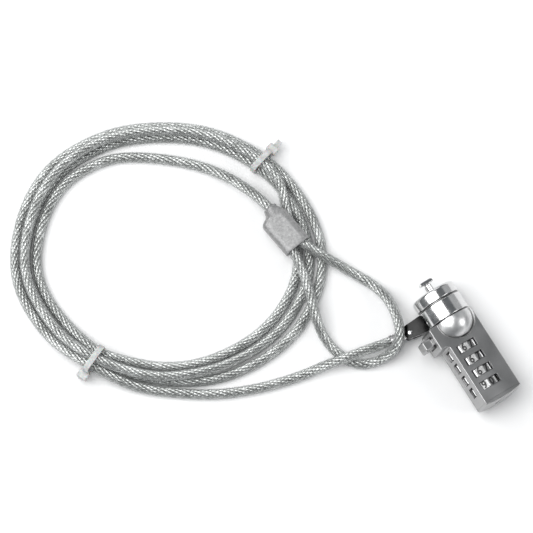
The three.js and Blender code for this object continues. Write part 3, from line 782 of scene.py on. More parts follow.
def make_dial_metal():
    """Satin metal. The ridges get a lighter base colour, a painted highlight for the light they catch; the
    flats between them are darker.
    """
    material, tree, shader = start_material("dial_metal", grey(0.4), 1.0, 0.4)
    # the raised mask picks the ridges, whose lighter tone is a painted highlight
    raised = add(tree, "ShaderNodeAttribute", attribute_name="raised").outputs["Fac"]
    grain = noise(tree, place_in(tree), 4200, 3.0)
    flat_tone = ramp(tree, grain, (0.3, grey(0.26)), (0.7, grey(0.38)))
    painted_ridge_highlight = ramp(tree, grain, (0.3, grey(0.68)), (0.7, grey(0.85)))
    both = add(tree, "ShaderNodeMix", {0: raised, 6: flat_tone, 7: painted_ridge_highlight}, data_type="RGBA").outputs[2]
    tree.links.new(both, shader.inputs["Base Color"])
    tree.links.new(remap(tree, grain, 0.35, 0.5), shader.inputs["Roughness"])
    add_bump(tree, shader, grain, 0.2, 0.00005)
    return material


satin_zinc = satin("satin_zinc", 0.36, 0.47)
chrome = mirror("chrome", 0.66, 0.78)
# near-black base: painted shade on the yoke arm, plain dark nickel on the screws
dark_nickel = mirror("dark_nickel", 0.016, 0.03, (0.12, 0.24))
dial_metal = make_dial_metal()
inner_steel = lathed("inner_steel", grey(0.34), grey(0.55))
spring_steel = lathed("spring_steel", grey(0.24), grey(0.42))
brass = lathed("brass", (0.5, 0.36, 0.15), (0.75, 0.6, 0.32))
print("made the metals")


# %% [markdown]
# The sleeve is grey moulding compound with metal flake, so it is speckled at two sizes. The ties are
# milky nylon that lets a little light in. The digits are filled with black paint, slightly worn.

# %% Plastics and ink
def make_sleeve_plastic():
    material, tree, shader = start_material("sleeve_plastic", grey(0.4), 0.25, 0.4)
    place = place_in(tree)
    flake = noise(tree, place, 3000, 2.0)
    speck = noise(tree, place, 900, 3.0, 0.7)
    tone = sums(tree, "ADD", sums(tree, "MULTIPLY", flake, 0.45), sums(tree, "MULTIPLY", speck, 0.55))
    colour = ramp(tree, tone, (0.36, grey(0.2)), (0.52, grey(0.31)), (0.66, grey(0.46)))
    tree.links.new(colour, shader.inputs["Base Color"])
    tree.links.new(remap(tree, flake, 0.3, 0.5), shader.inputs["Roughness"])
    add_bump(tree, shader, tone, 0.25, 0.0002)
    return material


def make_nylon():
    material, tree, shader = start_material(
        "nylon", (0.5, 0.51, 0.505), 0.0, 0.35, Subsurface_Weight=0.25, Subsurface_Scale=0.002, IOR=1.53,
    )
    cloud = noise(tree, place_in(tree), 700, 3.0)
    colour = ramp(tree, cloud, (0.3, (0.42, 0.43, 0.425)), (0.7, (0.62, 0.63, 0.625)))
    tree.links.new(colour, shader.inputs["Base Color"])
    tree.links.new(remap(tree, cloud, 0.28, 0.45), shader.inputs["Roughness"])
    add_bump(tree, shader, cloud, 0.15, 0.0002)
    return material


def make_ink():
    material, tree, shader = start_material("digit_ink", grey(0.015), 0.0, 0.5)
    worn = noise(tree, place_in(tree), 2600, 3.0)
    tree.links.new(ramp(tree, worn, (0.35, grey(0.01)), (0.75, grey(0.035))), shader.inputs["Base Color"])
    tree.links.new(remap(tree, worn, 0.4, 0.6), shader.inputs["Roughness"])
    return material


sleeve_plastic = make_sleeve_plastic()
nylon = make_nylon()
digit_ink = make_ink()
print("made the plastics and the ink")

# %% [markdown]
# ## The housing
# The front is one casting: a bar with a shoulder for the button, a round pocket for the ball, four
# windows, and four slots in its left wall where the dials can be reached. It could be modelled as flat
# plates, but cutting it out of one rounded block is how the casting is designed, and it leaves true
# walls behind every opening. The cutters are slightly larger than the pieces that move in them.

# %% Housing sizes, in millimetres from the head's axis
GAP = 0.3                                 # clearance round the pieces that move
HEAD_R = 9.75
BODY_HALF_W = 8.75
FRONT = 6.6
SHELL_BACK = -5.9
BACK = -7.2
BODY_TOP = -0.4
SHELL_END = -38.2
CAP_SIDE = -39.2
CAP_END = -40.1
SHOULDER_X = -12.4
SHOULDER_END = -10.4
BALL_Y = -2
SOCKET_FLOOR = -9.7
DIAL_AT = [
    HOUSING.inverted() @ Vector(joints[f"dial_{i}_spin"]["pos_m"]) / MM for i in (1, 2, 3, 4)
]
DIAL_X, DIAL_Z = DIAL_AT[0].x, DIAL_AT[0].z
DIAL_R = 6.2
CHAMBER = (-34.5, -11.4)
CHAMBER_R = 5.35
WINDOW_X = (-6.3, 2.5)
WINDOW_HALF = 1.78
WINDOW_CHAMFER = 0.24
SLOT_HALF_Y, SLOT_HALF_Z = 2.15, 2.5
DIAL_ROOM_HALF = 1.83
SHAFT_HOLE_R = 1.9
STEM_SLOT_Y, STEM_SLOT_Z = (-7.0, -3.8), (2.1, 5.0)
EDGE = 0.38
SEAM = 0.08
BUTTON_Y = -5.4
SCREW_SPOTS = [(6.9, -11.2), (6.9, -36.5), (-7.2, -36.5), (-10.6, -8.6)]
SCREW_R = 1.35
SCREW_HOLE_R = 0.8
SCREW_SEAT_R = 1.6
RESET_HOLE_R = 1.4


def rod(name, radius, y, x=0.0, z=0.0, sides=64):
    piece = turned(name, [(radius, y[0]), (radius, y[1])], sides)
    return reshape(piece, Matrix.Translation((x, 0, z)))


def post(name, radius, z, x=0.0, y=0.0, sides=48):
    ring = [(x + radius * math.cos(TURN * k / sides), y + radius * math.sin(TURN * k / sides))
            for k in range(sides)]
    return prism(name, ring, *z)


def body_outline(end=SHELL_END):
    return rounded([
        (-BODY_HALF_W, end, 0), (BODY_HALF_W, end, 0), (BODY_HALF_W, BODY_TOP, 1.0),
        (SHOULDER_X, BODY_TOP, 1.0), (SHOULDER_X, SHOULDER_END, 0.4), (-BODY_HALF_W, SHOULDER_END, 0.8),
    ])


def below_seam():
    """Cuts an over-long piece off square, so that its edge at the end cap's seam stays sharp."""
    return block("below_seam", (-12, 12), (SHELL_END - 4, SHELL_END), (-9, 9))


def ball_pocket():
    reach = HEAD_R + GAP
    low = math.asin((SOCKET_FLOOR - BALL_Y) / reach)
    bearings = [low + (math.pi / 2 - low) * k / 32 for k in range(33)]
    profile = [(0, SOCKET_FLOOR)] + [(reach * math.cos(a), BALL_Y + reach * math.sin(a)) for a in bearings]
    return turned("pocket", profile, 128)


def pocket_rim():
    ring = turned("rim", [(0, 5.6), (7.55, 5.6), (8.85, 6.9), (0, 6.9)], 128)
    return reshape(ring, Matrix.Translation((0, BALL_Y, 0)) @ Matrix.Rotation(math.pi / 2, 4, "X"))


def window_cutter(y):
    """A dial window whose lip is broken by a small chamfer."""
    rings = []
    for z, wider in ((2.0, 0.0), (FRONT - 0.14, 0.0), (FRONT + 0.1, WINDOW_CHAMFER)):
        half = WINDOW_HALF + wider
        edge = box_corners(WINDOW_X[0] - wider, WINDOW_X[1] + wider, y - half, y + half, 0.25 + wider)
        rings.append([(px, py, z) for px, py in rounded(edge, 4)])
    return loft("window", rings)


def slot_cutter(y):
    """A side slot, drawn in Y and Z and pushed in along X."""
    corners = box_corners(y - SLOT_HALF_Y, y + SLOT_HALF_Y, DIAL_Z - SLOT_HALF_Z, DIAL_Z + SLOT_HALF_Z, 0.4)
    edge = rounded(corners, 4)
    return loft("slot", [[(x, py, pz) for py, pz in edge] for x in (-9.4, -5.0)])


# %% [markdown]
# ### Front casting
# Behind each window is a round room, only as wide as its dial, and the rooms are joined by a narrower
# chamber that the shaft runs through. The walls left between the rooms separate the dials.

# %% Cut the front casting
def make_body_shell():
    shell = prism("front_casting", body_outline(SHELL_END - 2), SHELL_BACK, FRONT)
    round_edges(shell, EDGE)
    cutters = [ball_pocket(), pocket_rim(), below_seam()]
    for at in DIAL_AT:
        room = (at.y - DIAL_ROOM_HALF, at.y + DIAL_ROOM_HALF)
        cutters.append(rod("dial_room", DIAL_R + GAP, room, DIAL_X, DIAL_Z, 72))
        cutters.append(window_cutter(at.y))
        cutters.append(slot_cutter(at.y))
    cutters += [
        rod("chamber", CHAMBER_R, CHAMBER, DIAL_X, DIAL_Z, 72),
        block("chamber_back", (DIAL_X - 5, DIAL_X + 5), CHAMBER, (-7, DIAL_Z)),
        block("button_well", (-13.2, -9.4), (BUTTON_Y - 2.6, BUTTON_Y + 2.6), (-3.95, 3.95)),
        block("stem_slot", (-13, -6), STEM_SLOT_Y, STEM_SLOT_Z),
        rod("shaft_hole", SHAFT_HOLE_R, (-40, -8), DIAL_X, DIAL_Z),
        block("detent_well", (DIAL_X + 5.85, DIAL_X + 7.65), CHAMBER, (-7, 3.2)),
    ]
    cutters += [post("thread", SCREW_HOLE_R, (-7, -2.2), x, y) for x, y in SCREW_SPOTS]
    carve(shell, *cutters)
    return finish_piece(shell, "housing", satin_zinc, HOUSING, ["body_shell"])


front_casting = make_body_shell()
print("front casting:", len(front_casting.data.polygons), "faces")

# %% [markdown]
# ### Back cover, end cap and screws
# The back cover closes the dial chamber and is held by four small screws sunk in counterbores. The end
# cap is slightly crowned, with a hole for the screw that resets the code. The cover has the casting's
# outline, so both are cut from the same drawing and their edges meet all the way round.

# %% Back cover, end cap and their screws
SCREW_TURN = 0.4                          # radians from one screw's cross to the next one's
THREADS = 13
THREAD_PITCH = 0.33


def make_back_cover():
    cover = prism("rear_plate", body_outline(SHELL_END - 2), BACK, SHELL_BACK - GAP / 2)
    round_edges(cover, EDGE)
    cutters = [ball_pocket(), below_seam()]
    for x, y in SCREW_SPOTS:
        cutters.append(post("hole", SCREW_HOLE_R, (-8, -5), x, y))
        cutters.append(post("seat", SCREW_SEAT_R, (-8, -6.8), x, y))
    carve(cover, *cutters)
    return finish_piece(cover, "housing", satin_zinc, HOUSING, ["back_cover"])


def make_end_cap():
    """A plate whose outer face is crowned from side to side."""
    crown = [(BODY_HALF_W * (1 - k / 12), CAP_END + (CAP_SIDE - CAP_END) * (1 - k / 12) ** 2)
             for k in range(25)]
    plate = prism("end_plate", [(-BODY_HALF_W, SHELL_END + 2), (BODY_HALF_W, SHELL_END + 2), *crown],
                  BACK, FRONT)
    round_edges(plate, EDGE)
    above_seam = block("above_seam", (-12, 12), (SHELL_END - SEAM, SHELL_END + 4), (-9, 9))
    carve(plate, above_seam, rod("hole", RESET_HOLE_R, (CAP_END - 1, SHELL_END + 1), DIAL_X, DIAL_Z))
    return finish_piece(plate, "housing", satin_zinc, HOUSING, ["end_cap"])


def make_cover_screw(number, x, y):
    """A button screw with a cross recess and a thread that is cut as rings."""
    head = post("screw", SCREW_R, (-7.15, -6.83), x, y)
    round_edges(head, 0.1)
    for turn in (0, math.pi / 2):
        wing = block("wing", (-0.75, 0.75), (-0.14, 0.14), (-7.3, -6.98))
        cross = Matrix.Rotation(turn + SCREW_TURN * number, 4, "Z")
        carve(head, reshape(wing, Matrix.Translation((x, y, 0)) @ cross))
    profile = [(0.0, -6.9)]
    for k in range(THREADS):
        profile += [(0.62, -6.86 + k * THREAD_PITCH), (0.48, -6.7 + k * THREAD_PITCH)]
    profile.append((0.0, -2.6))
    thread = turned("thread", profile, 24)
    reshape(thread, Matrix.Translation((x, y, 0)) @ Matrix.Rotation(math.pi / 2, 4, "X"))
    weld(head, thread)
    head.name = f"screw_{number}"
    return finish_piece(head, "housing", dark_nickel, HOUSING, [f"cover_screw_{number}"])


rear_plate = make_back_cover()
end_plate = make_end_cap()
screws = [make_cover_screw(i + 1, x, y) for i, (x, y) in enumerate(SCREW_SPOTS)]
print("cover, end cap and", len(screws), "screws")

# %% [markdown]
# ## The head
# Four polished pieces are stacked on the lock's axis: the ball that sits in the housing's pocket, the
# swivel ring that the cable hangs on, a thin washer and the end cap. On the real lock they are turned
# from bar, so each is a profile turned about the axis, with its openings cut afterwards.

# %% Ball, washer and cap
RING_LOW, RING_HIGH = 0.1, 7.5
CAP_LOW, CAP_HIGH = 8.2, 13.2
CAP_ROUND = 1.5
LIP = 0.35
STEM_R = 5.0
SPIGOT_R = 3.6
BALL_CUT = -9.4
BALL_TOP = -0.3
BALL_SOFTNESS = 0.2


def arc(radius, x, y, start, end, steps=8):
    """Points on an arc about (x, y), between two angles in degrees."""
    angles = [math.radians(start + (end - start) * k / steps) for k in range(steps + 1)]
    return [(x + radius * math.cos(a), y + radius * math.sin(a)) for a in angles]


def make_head_ball():
    low = math.degrees(math.asin((BALL_CUT - BALL_Y) / HEAD_R))
    high = math.degrees(math.asin((BALL_TOP - BALL_Y - 0.15) / HEAD_R))
    profile = [(0, BALL_CUT), *arc(HEAD_R, 0, BALL_Y, low, high, 32)]
    profile += [(HEAD_R - 0.4, BALL_TOP), (STEM_R, BALL_TOP), (STEM_R, 8.0), (SPIGOT_R, 8.0),
                (SPIGOT_R, 10.4), (0, 10.4)]
    ball = turned("ball", profile, 128)
    carve(
        ball, rod("bore", 2.9, (-7.2, 12)), rod("tip_hole", 1.4, (-8.3, -7)),
        block("stem_slot", (-10.6, 3.2), STEM_SLOT_Y, STEM_SLOT_Z),
        rod("shaft_hole", SHAFT_HOLE_R, (-10, -8.3), DIAL_X, DIAL_Z),
    )
    mark(ball, "softness", lambda at: BALL_SOFTNESS)
    return finish_piece(ball, "housing", chrome, HOUSING, ["head_ball"])


def make_head_cap():
    """The rounded end cap. Its flat end face has the slot for the guide pins and the T-bar's hole."""
    profile = [(0, CAP_LOW), *arc(LIP, HEAD_R - LIP, CAP_LOW + LIP, -90, 0, 4)]
    profile += [*arc(CAP_ROUND, HEAD_R - CAP_ROUND, CAP_HIGH - CAP_ROUND, 0, 90, 10), (0, CAP_HIGH)]
    cap = turned("cap", profile, 128)
    edge = rounded(box_corners(-1.35, 1.35, -3.65, 3.65, 0.5), 5)
    slot = loft("slot", [[(x, y, z) for x, z in edge] for y in (10, 14)])
    carve(cap, rod("bore", 3.9, (8, 10.7)), slot, rod("hole", 1.6, (10, 14)))
    return finish_piece(cap, "housing", chrome, HOUSING, ["head_cap"])


def make_washer():
    profile = [(5.35, 7.7), (9.35, 7.7), (9.4, 7.75), (9.4, 7.95), (9.35, 8.0), (5.35, 8.0)]
    washer = turned("washer", profile, 128, wrap=True)
    return finish_piece(washer, "housing", spring_steel, HOUSING, ["swivel_washer"])


head_pieces = [make_head_ball(), make_head_cap(), make_washer()]
print("head:", [len(piece.data.polygons) for piece in head_pieces], "faces")

# %% [markdown]
# ### T-bar and guide pins
# The T-bar goes through the computer's slot and is turned across it, and the two pins then keep it
# from turning back. Its crossbar is a small casting, so all of its edges are soft, and a fillet runs
# from the crossbar into the neck.

# %% T-bar and guide pins
PIN_R = 0.75
PIN_Z = 2.6
BAR_LOW, BAR_HIGH = 17.1, 18.7
BAR_HALF = 3.05
BAR_SHOULDER = BAR_HIGH - 0.6


def make_guide_pin(number, side):
    profile = [(0, 10.8), (PIN_R, 10.8), *arc(0.4, PIN_R - 0.4, 16.2, 0, 90, 5), (0, 16.6)]
    pin = reshape(turned("pin", profile, 32), Matrix.Translation((0, 0, side * PIN_Z)))
    pin.name = f"slot_pin_{number}"
    return finish_piece(pin, "housing", chrome, HOUSING, [f"guide_pin_{number}"])


def make_t_bar():
    shape = rounded([
        (-BAR_HALF, BAR_LOW, 0.35), (BAR_HALF, BAR_LOW, 0.35), (BAR_HALF, BAR_SHOULDER, 0.4),
        (2.3, BAR_HIGH, 0.5), (-2.3, BAR_HIGH, 0.5), (-BAR_HALF, BAR_SHOULDER, 0.4),
    ], 4)
    bar = prism("tee", shape, -1.35, 1.35)
    round_edges(bar, 0.3)
    neck = [(0, -7.9), (1.0, -7.9), (1.1, -7.8), (1.1, 11.2), (1.25, 11.6), (1.25, 16.3),
            (1.35, 16.8), (1.7, 17.3), (0, 17.6)]
    weld(bar, turned("neck", neck, 48))
    return finish_piece(bar, "t_bar", chrome, HOUSING, ["t_bar"])


guide_pins = [make_guide_pin(1, 1), make_guide_pin(2, -1)]
tee = make_t_bar()
print("T-bar:", len(tee.data.polygons), "faces")

# %% [markdown]
# ### Swivel ring, yoke arm and cable terminal
# The ring turns between the ball and the cap. A forked arm is cast on its side and carries the pin
# that the cable's terminal hangs on. The arm is the meeting of two outlines, its plan and its side
# view, which is how such a part is drawn and gives its sloped upper faces directly. The ring is
# polished like the cap. The arm is the same metal, but its near-black base colour is painted shade
# for the dark reflections it shows, so they are two pieces on the same body.

# %% Swivel ring and yoke arm
ARM_HIGH = [(-4, 11.9), (-8.5, 11.6), (-12.2, 9.5), (-18.8, 6.9)]
ARM_LOW = 2.1
FORK_HALF = 1.25
RING_BORE_R = 5.4
ARM_TIP = -18.8


def make_ring_band():
    profile = [(RING_BORE_R, RING_LOW), *arc(LIP, HEAD_R - LIP, RING_LOW + LIP, -90, 0, 4)]
    profile += [*arc(LIP, HEAD_R - LIP, RING_HIGH - LIP, 0, 90, 4), (RING_BORE_R, RING_HIGH)]
    ring = turned("ring_band", profile, 128, wrap=True)
    return finish_piece(ring, "swivel", chrome, HEAD, ["swivel_ring"])


def make_yoke_arm():
    plan = rounded([
        (-4, RING_LOW, 0), (-9.4, RING_LOW, 0.6), (ARM_TIP, RING_LOW + 1.9, 1.5),
        (ARM_TIP, RING_HIGH, 2.2), (-4, RING_HIGH, 0),
    ], 8)
    arm = prism("yoke_arm", plan, ARM_LOW - HEAD_R, HEAD_R)
    side = [(-4, ARM_LOW), *ARM_HIGH, (ARM_HIGH[-1][0] - 1, ARM_HIGH[-1][1] - 0.4), (-19.8, ARM_LOW)]
    edge = [(x, z - HEAD_R) for x, z in side]
    sides = loft("side", [[(x, y, z) for x, z in edge] for y in (-1, 9)])
    boolean(arm, [sides], "INTERSECT")
    round_edges(arm, 0.4, 3, 25)
    slot = block("slot", (-20, -12.6), (-2, 10), (PIN_AT.z - FORK_HALF, PIN_AT.z + FORK_HALF))
    carve(arm, rod("ring_space", HEAD_R - 0.1, (-2, 10), sides=128), slot,
          post("hole", 1.14, (PIN_AT.z - 4, PIN_AT.z + 6), PIN_AT.x, PIN_AT.y))
    # the arm's near-black finish is painted shade for its dark reflections
    return finish_piece(arm, "swivel", dark_nickel, HEAD)


def make_yoke_rivet():
    """The pin's ends are domed over, like a rivet."""
    profile = [(0, -2.45), *arc(0.3, 0.8, -2.15, -90, 0, 4), *arc(0.5, 0.6, 3.25, 0, 90, 6), (0, 3.85)]
    pin = turned("yoke_rivet", profile, 40)
    reshape(pin, Matrix.Translation(PIN_AT) @ Matrix.Rotation(math.pi / 2, 4, "X"))
    return finish_piece(pin, "swivel", chrome, HEAD, ["yoke_pin"])


yoke_pieces = [make_ring_band(), make_yoke_arm(), make_yoke_rivet()]
print("yoke:", [len(piece.data.polygons) for piece in yoke_pieces], "faces")

# %% [markdown]
# ### Cable terminal
# The terminal is a flat eye that runs into a round shank. The cable is pushed into the shank, and the
# shank is pressed onto it, which leaves three shallow grooves.

# %% Cable terminal
TERMINAL_TURN = math.radians(-10)
SHANK = (3.9, 8.7)
SHANK_R = 2.55
GROOVE_BED = SHANK_R - 0.22
CABLE_HOLE_R = 2.22
CABLE_STOP = 7.6


def make_terminal():
    eye = post("cable_eye", 2.3, (-0.9, 0.9), sides=64)
    round_edges(eye, 0.2)
    weld(eye, block("link", (-4.6, -1), (-1.5, 1.5), (-0.88, 0.88)))
    profile = [(0, SHANK[0]), *arc(0.5, SHANK_R - 0.5, SHANK[0] + 0.5, -90, 0, 5)]
    for groove in (5.3, 6.3, 7.3):
        profile += [(SHANK_R, groove - 0.3), (GROOVE_BED, groove - 0.12), (GROOVE_BED, groove + 0.12),
                    (SHANK_R, groove + 0.3)]
    profile += [(SHANK_R, SHANK[1] - 0.15), (SHANK_R - 0.15, SHANK[1]), (CABLE_HOLE_R, SHANK[1]),
                (CABLE_HOLE_R, CABLE_STOP), (0, CABLE_STOP)]
    shank = reshape(turned("shank", profile, 64), Matrix.Rotation(math.pi / 2, 4, "Z"))
    weld(eye, shank)
    carve(eye, post("hole", 1.25, (-2, 2)))
    place = HEAD @ Matrix.Translation(PIN_AT * MM) @ Matrix.Rotation(TERMINAL_TURN, 4, "Z")
    return finish_piece(eye, "cable", inner_steel, place, ["cable_terminal"])


cable_eye = make_terminal()
print("terminal:", len(cable_eye.data.polygons), "faces")

# %% [markdown]
# ## Button and dials
# The button slides into the shoulder and turns the T-bar through a stem. Three fine grooves across
# its outer face give the thumb a hold. It is a rounded outline pulled straight out.

# %% Push button
BUTTON_OUT = -17.0
BUTTON_IN = -12.8
BUTTON_HALF_Y, BUTTON_HALF_Z = 2.3, 3.65
GRIP_STEPS = (-0.9, 0, 0.9)


def make_button():
    low, high = BUTTON_Y - BUTTON_HALF_Y, BUTTON_Y + BUTTON_HALF_Y
    edge = rounded(box_corners(low, high, -BUTTON_HALF_Z, BUTTON_HALF_Z, 0.9), 6)
    button = loft("button_cap", [[(x, y, z) for y, z in edge] for x in (BUTTON_OUT, BUTTON_IN)])
    round_edges(button, 0.5, 4)
    grooves = [post("groove", 0.28, (-2.6, 2.6), BUTTON_OUT - 0.1, BUTTON_Y + step) for step in GRIP_STEPS]
    carve(button, *grooves)
    weld(button, block("stem", (BUTTON_IN - 0.4, -0.9), (-6.6, -4.2), (2.5, 4.6)))
    return finish_piece(button, "button", satin_zinc, HOUSING, ["push_button"])


button_cap = make_button()
print("button:", len(button_cap.data.polygons), "faces")

# %% [markdown]
# ### Copies by Geometry Nodes
# Finger ridges go round a dial and teeth go along a cable tie. Both are one small bar, repeated with
# an even step or an even turn. One tree does both: it lays a row of points, puts the bar on each, and
# turns each copy by its number in the row.

# %% The repeat tree
def make_repeat_tree():
    tree, given = start_tree(
        "repeat_bar", Count=10, Step=(0.0, 0.0, 0.0), Turn=(0.0, 0.0, 0.0), First_Turn=(0.0, 0.0, 0.0),
        Finish=dial_metal,
    )
    row = add(tree, "GeometryNodeMeshLine", {"Count": given["Count"], "Offset": given["Step"]}).outputs[0]
    number = add(tree, "GeometryNodeInputIndex").outputs[0]
    turned_by = add(tree, "ShaderNodeVectorMath", {0: given["Turn"], "Scale": number}, operation="SCALE")
    rotation = vectors(tree, "ADD", turned_by.outputs[0], given["First Turn"])
    copies = add(tree, "GeometryNodeInstanceOnPoints",
                 {"Points": row, "Instance": given["Geometry"], "Rotation": rotation}).outputs[0]
    end_tree(tree, copies, given["Finish"])
    return tree


repeat_tree = make_repeat_tree()
print("repeat tree:", len(repeat_tree.nodes), "nodes")

# %% [markdown]
# ### Numbered dials
# A dial is a ten-sided drum with a ridge at each corner and a digit on each flat. The digits are built
# as text, which keeps their curves, then made into mesh and laid on the flats as a layer of paint. The
# last dial is left a third of a step away from the others, with higher numbers showing.

# %% Dials
DIGITS = 10
STEP_ANGLE = TURN / DIGITS
DRUM_FLAT = 5.62
BAND_HALF = 1.6
RIDGE_FOOT = 5.95
RIDGE_TOP = 6.19
RIM_Y = 2.3
DIAL_BORE_R = 4.0
DIGIT_SIZE = 4.5
DIGIT_WEIGHT = 0.16
DIGIT_WIDTH = 0.88                        # a share of the font's own width
PAINT = 0.04
SIX_ANGLE = math.radians(103.6)
NINE_ANGLE = math.radians(115.6)


def make_dial_body(number, first_digit_angle):
    corner = DRUM_FLAT / math.cos(STEP_ANGLE / 2)
    turns = [first_digit_angle + STEP_ANGLE * (k + 0.5) for k in range(DIGITS)]
    edge = [(corner * math.cos(a), corner * math.sin(a)) for a in turns]
    drum = loft(f"numbered_dial_{number}", [[(x, y, z) for x, z in edge] for y in (-BAND_HALF, BAND_HALF)])
    rim = [(0, -RIM_Y), *arc(0.25, 4.75, -2.05, -90, 0, 3), *arc(0.25, 4.75, 2.05, 0, 90, 3), (0, RIM_Y)]
    weld(drum, turned("rim", rim, 72))
    bar = block("bar", (5.3, RIDGE_TOP), (-BAND_HALF, BAND_HALF), (-0.4, 0.4))
    round_edges(bar, 0.17, 2)
    ridges = grow(
        "ridges", bar, repeat_tree, Count=DIGITS, Turn=(0.0, -STEP_ANGLE, 0.0),
        First_Turn=(0.0, -first_digit_angle - STEP_ANGLE / 2, 0.0),
    )
    discard(bar)
    weld(drum, ridges)
    carve(drum, rod("bore", DIAL_BORE_R, (-3, 3), sides=72))
    # the ridges marked here get a painted highlight in dial_metal
    return mark(drum, "raised", lambda at: 1.0 if math.hypot(at.x, at.z) > RIDGE_FOOT else 0.0)


def make_digit(digit, angle):
    data = bpy.data.curves.new("digit", "FONT")
    data.body = str(digit)
    data.size = DIGIT_SIZE
    data.align_x = "CENTER"
    data.align_y = "CENTER"
    data.offset = DIGIT_WEIGHT
    data.extrude = PAINT
    data.resolution_u = 6
    text = bpy.data.objects.new("digit", data)
    bpy.context.scene.collection.objects.link(text)
    view = bpy.context.evaluated_depsgraph_get()
    mesh = bpy.data.meshes.new_from_object(text.evaluated_get(view))
    discard(text)
    outward = Vector((math.cos(angle), 0, math.sin(angle)))
    right = Vector((math.sin(angle), 0, -math.cos(angle)))
    turn = Matrix((right, (0, 1, 0), outward)).transposed().to_4x4()
    lift = Matrix.Translation(outward * (DRUM_FLAT + 0.03))
    narrow = Matrix.Diagonal((DIGIT_WIDTH, 1, 1, 1))
    mesh.transform(lift @ turn @ narrow)
    return mesh


def make_digits(number, first_digit, first_digit_angle):
    """All ten digits of a dial in one mesh. They rise as the dial is turned towards the viewer."""
    work = bmesh.new()
    for k in range(DIGITS):
        work.from_mesh(make_digit((first_digit + k) % DIGITS, first_digit_angle - STEP_ANGLE * k))
    mesh = bpy.data.meshes.new(f"digits_{number}")
    work.to_mesh(mesh)
    work.free()
    piece = bpy.data.objects.new(f"digits_{number}", mesh)
    bpy.context.scene.collection.objects.link(piece)
    return piece


def make_dial(number, at):
    first_digit, angle = (9, NINE_ANGLE) if number == 4 else (6, SIX_ANGLE)
    place = HOUSING @ Matrix.Translation(at * MM)
    body = make_dial_body(number, angle)
    finish_piece(body, f"dial_{number}", dial_metal, place, [f"dial_{number}"])
    digits = make_digits(number, first_digit, angle)
    finish_piece(digits, f"dial_{number}", digit_ink, place)
    return body, digits


for number, at in enumerate(DIAL_AT, 1):
    body, digits = make_dial(number, at)
    print(body.name, len(body.data.polygons), "faces;", digits.name, len(digits.data.polygons))

# %% [markdown]
# ## Crimp sleeve and ferrule
# The sleeve is a moulded shell round the crimped loop. It has a round neck where the cable enters and
# widens into a flat body with an open end. Its section changes smoothly from a circle to a rounded
# rectangle, so it is lofted through a few stations rather than cut from a block. A flat panel is
# recessed into its upper face, and a steel ferrule with two bores sits inside.

# %% Crimp sleeve
SLEEVE_AT = Vector((-32.25, 70.3, 8.5))
SLEEVE_TURN = math.radians(8.2)
SLEEVE_PLACE = Matrix.Translation(SLEEVE_AT * MM) @ Matrix.Rotation(SLEEVE_TURN, 4, "Z")
NECK_X = 1.5
NECK_BORE_R = 2.35
FERRULE_Y = (4.6, 12.6)
FERRULE_BORE_R = 2.1
CABLE_X = 2.5                             # how far each cable is from the middle of the ferrule
# Each station: distance from the open end, middle, half width, half height, and squareness.
SLEEVE_STATIONS = [
    (20.3, 1.5, 2.65, 2.75, 2.0), (20.05, 1.5, 2.95, 2.95, 2.0), (19.3, 1.45, 3.15, 3.1, 2.0),
    (18.3, 1.35, 3.4, 3.2, 2.1), (17.6, 1.1, 3.9, 3.3, 2.4), (17.0, 0.65, 4.7, 3.45, 2.8),
    (16.4, 0.2, 5.5, 3.6, 3.2), (15.7, 0.0, 5.9, 3.68, 3.6), (14.8, 0.0, 6.1, 3.7, 4.0),
    (1.0, 0.0, 6.1, 3.7, 4.0), (0.3, 0.0, 6.05, 3.66, 4.0), (0.0, 0.0, 5.8, 3.5, 4.0),
]
SECTION_POINTS = 96


def squarish(middle, half_width, half_height, power):
    """A section between an ellipse, at power 2, and a rectangle."""
    points = []
    for k in range(SECTION_POINTS):
        a = TURN * k / SECTION_POINTS
        u = math.copysign(abs(math.cos(a)) ** (2 / power), math.cos(a))
        v = math.copysign(abs(math.sin(a)) ** (2 / power), math.sin(a))
        points.append((middle + half_width * u, half_height * v))
    return points


def make_sleeve():
    rings = []
    for y, *section in SLEEVE_STATIONS:
        rings.append([(x, y, z) for x, z in squarish(*section)])
    sleeve = loft("moulded_sleeve", rings)
    pocket = rounded(box_corners(-5.1, 5.1, -2.6, 2.6, 1.9), 8)
    panel = rounded(box_corners(-3.4, 3.4, 1.3, 13.6, 0.8), 6)
    carve(
        sleeve,
        loft("pocket", [[(x, y, z) for x, z in pocket] for y in (-1, 12.8)]),
        rod("neck_bore", NECK_BORE_R, (12, 22), NECK_X),
        prism("panel", panel, 3.52, 5),
    )
    return finish_piece(sleeve, "cable", sleeve_plastic, SLEEVE_PLACE, ["crimp_sleeve"])


def make_ferrule():
    pill = rounded(box_corners(-4.7, 4.7, -2.2, 2.2, 2.15), 12)
    ferrule = loft("pressed_ferrule", [[(x, y, z) for x, z in pill] for y in FERRULE_Y])
    round_edges(ferrule, 0.3)
    carve(ferrule, *[rod("bore", FERRULE_BORE_R, (0, 20), x) for x in (-CABLE_X, CABLE_X)])
    return finish_piece(ferrule, "cable", inner_steel, SLEEVE_PLACE, ["crimp_ferrule"])


sleeve_pieces = [make_sleeve(), make_ferrule()]
print("sleeve and ferrule:", [len(piece.data.polygons) for piece in sleeve_pieces], "faces")

# %% [markdown]
# ## Cable ties
# Each tie is a nylon strap pulled tight round the bundle, through a square head, with a clipped tail.
# The strap is a rounded frame, since the bundle is flat underneath and humped on top. Its teeth are
# the repeated bar again, this time in a row along the tail and over the top of the strap.

# %% Cable ties
TIES = [
    {"bearing": 202.4, "inner": 8.7, "outer": -2.4, "top": 11.7, "tail": 0.6},
    {"bearing": 15.0, "inner": 6.9, "outer": -2.4, "top": 9.7, "tail": 3.2},
]
STRAP = 1.0                               # thickness
STRAP_HALF = 1.25
STRAP_FOOT = 0.06
CLASP_LENGTH = 3.9
CLASP_HALF = 2.3
CLASP_Z = (3.4, 7.4)
TAIL_HALF = 1.1
TAIL_Z = (4.95, 5.85)
TOOTH_STEP = 0.5


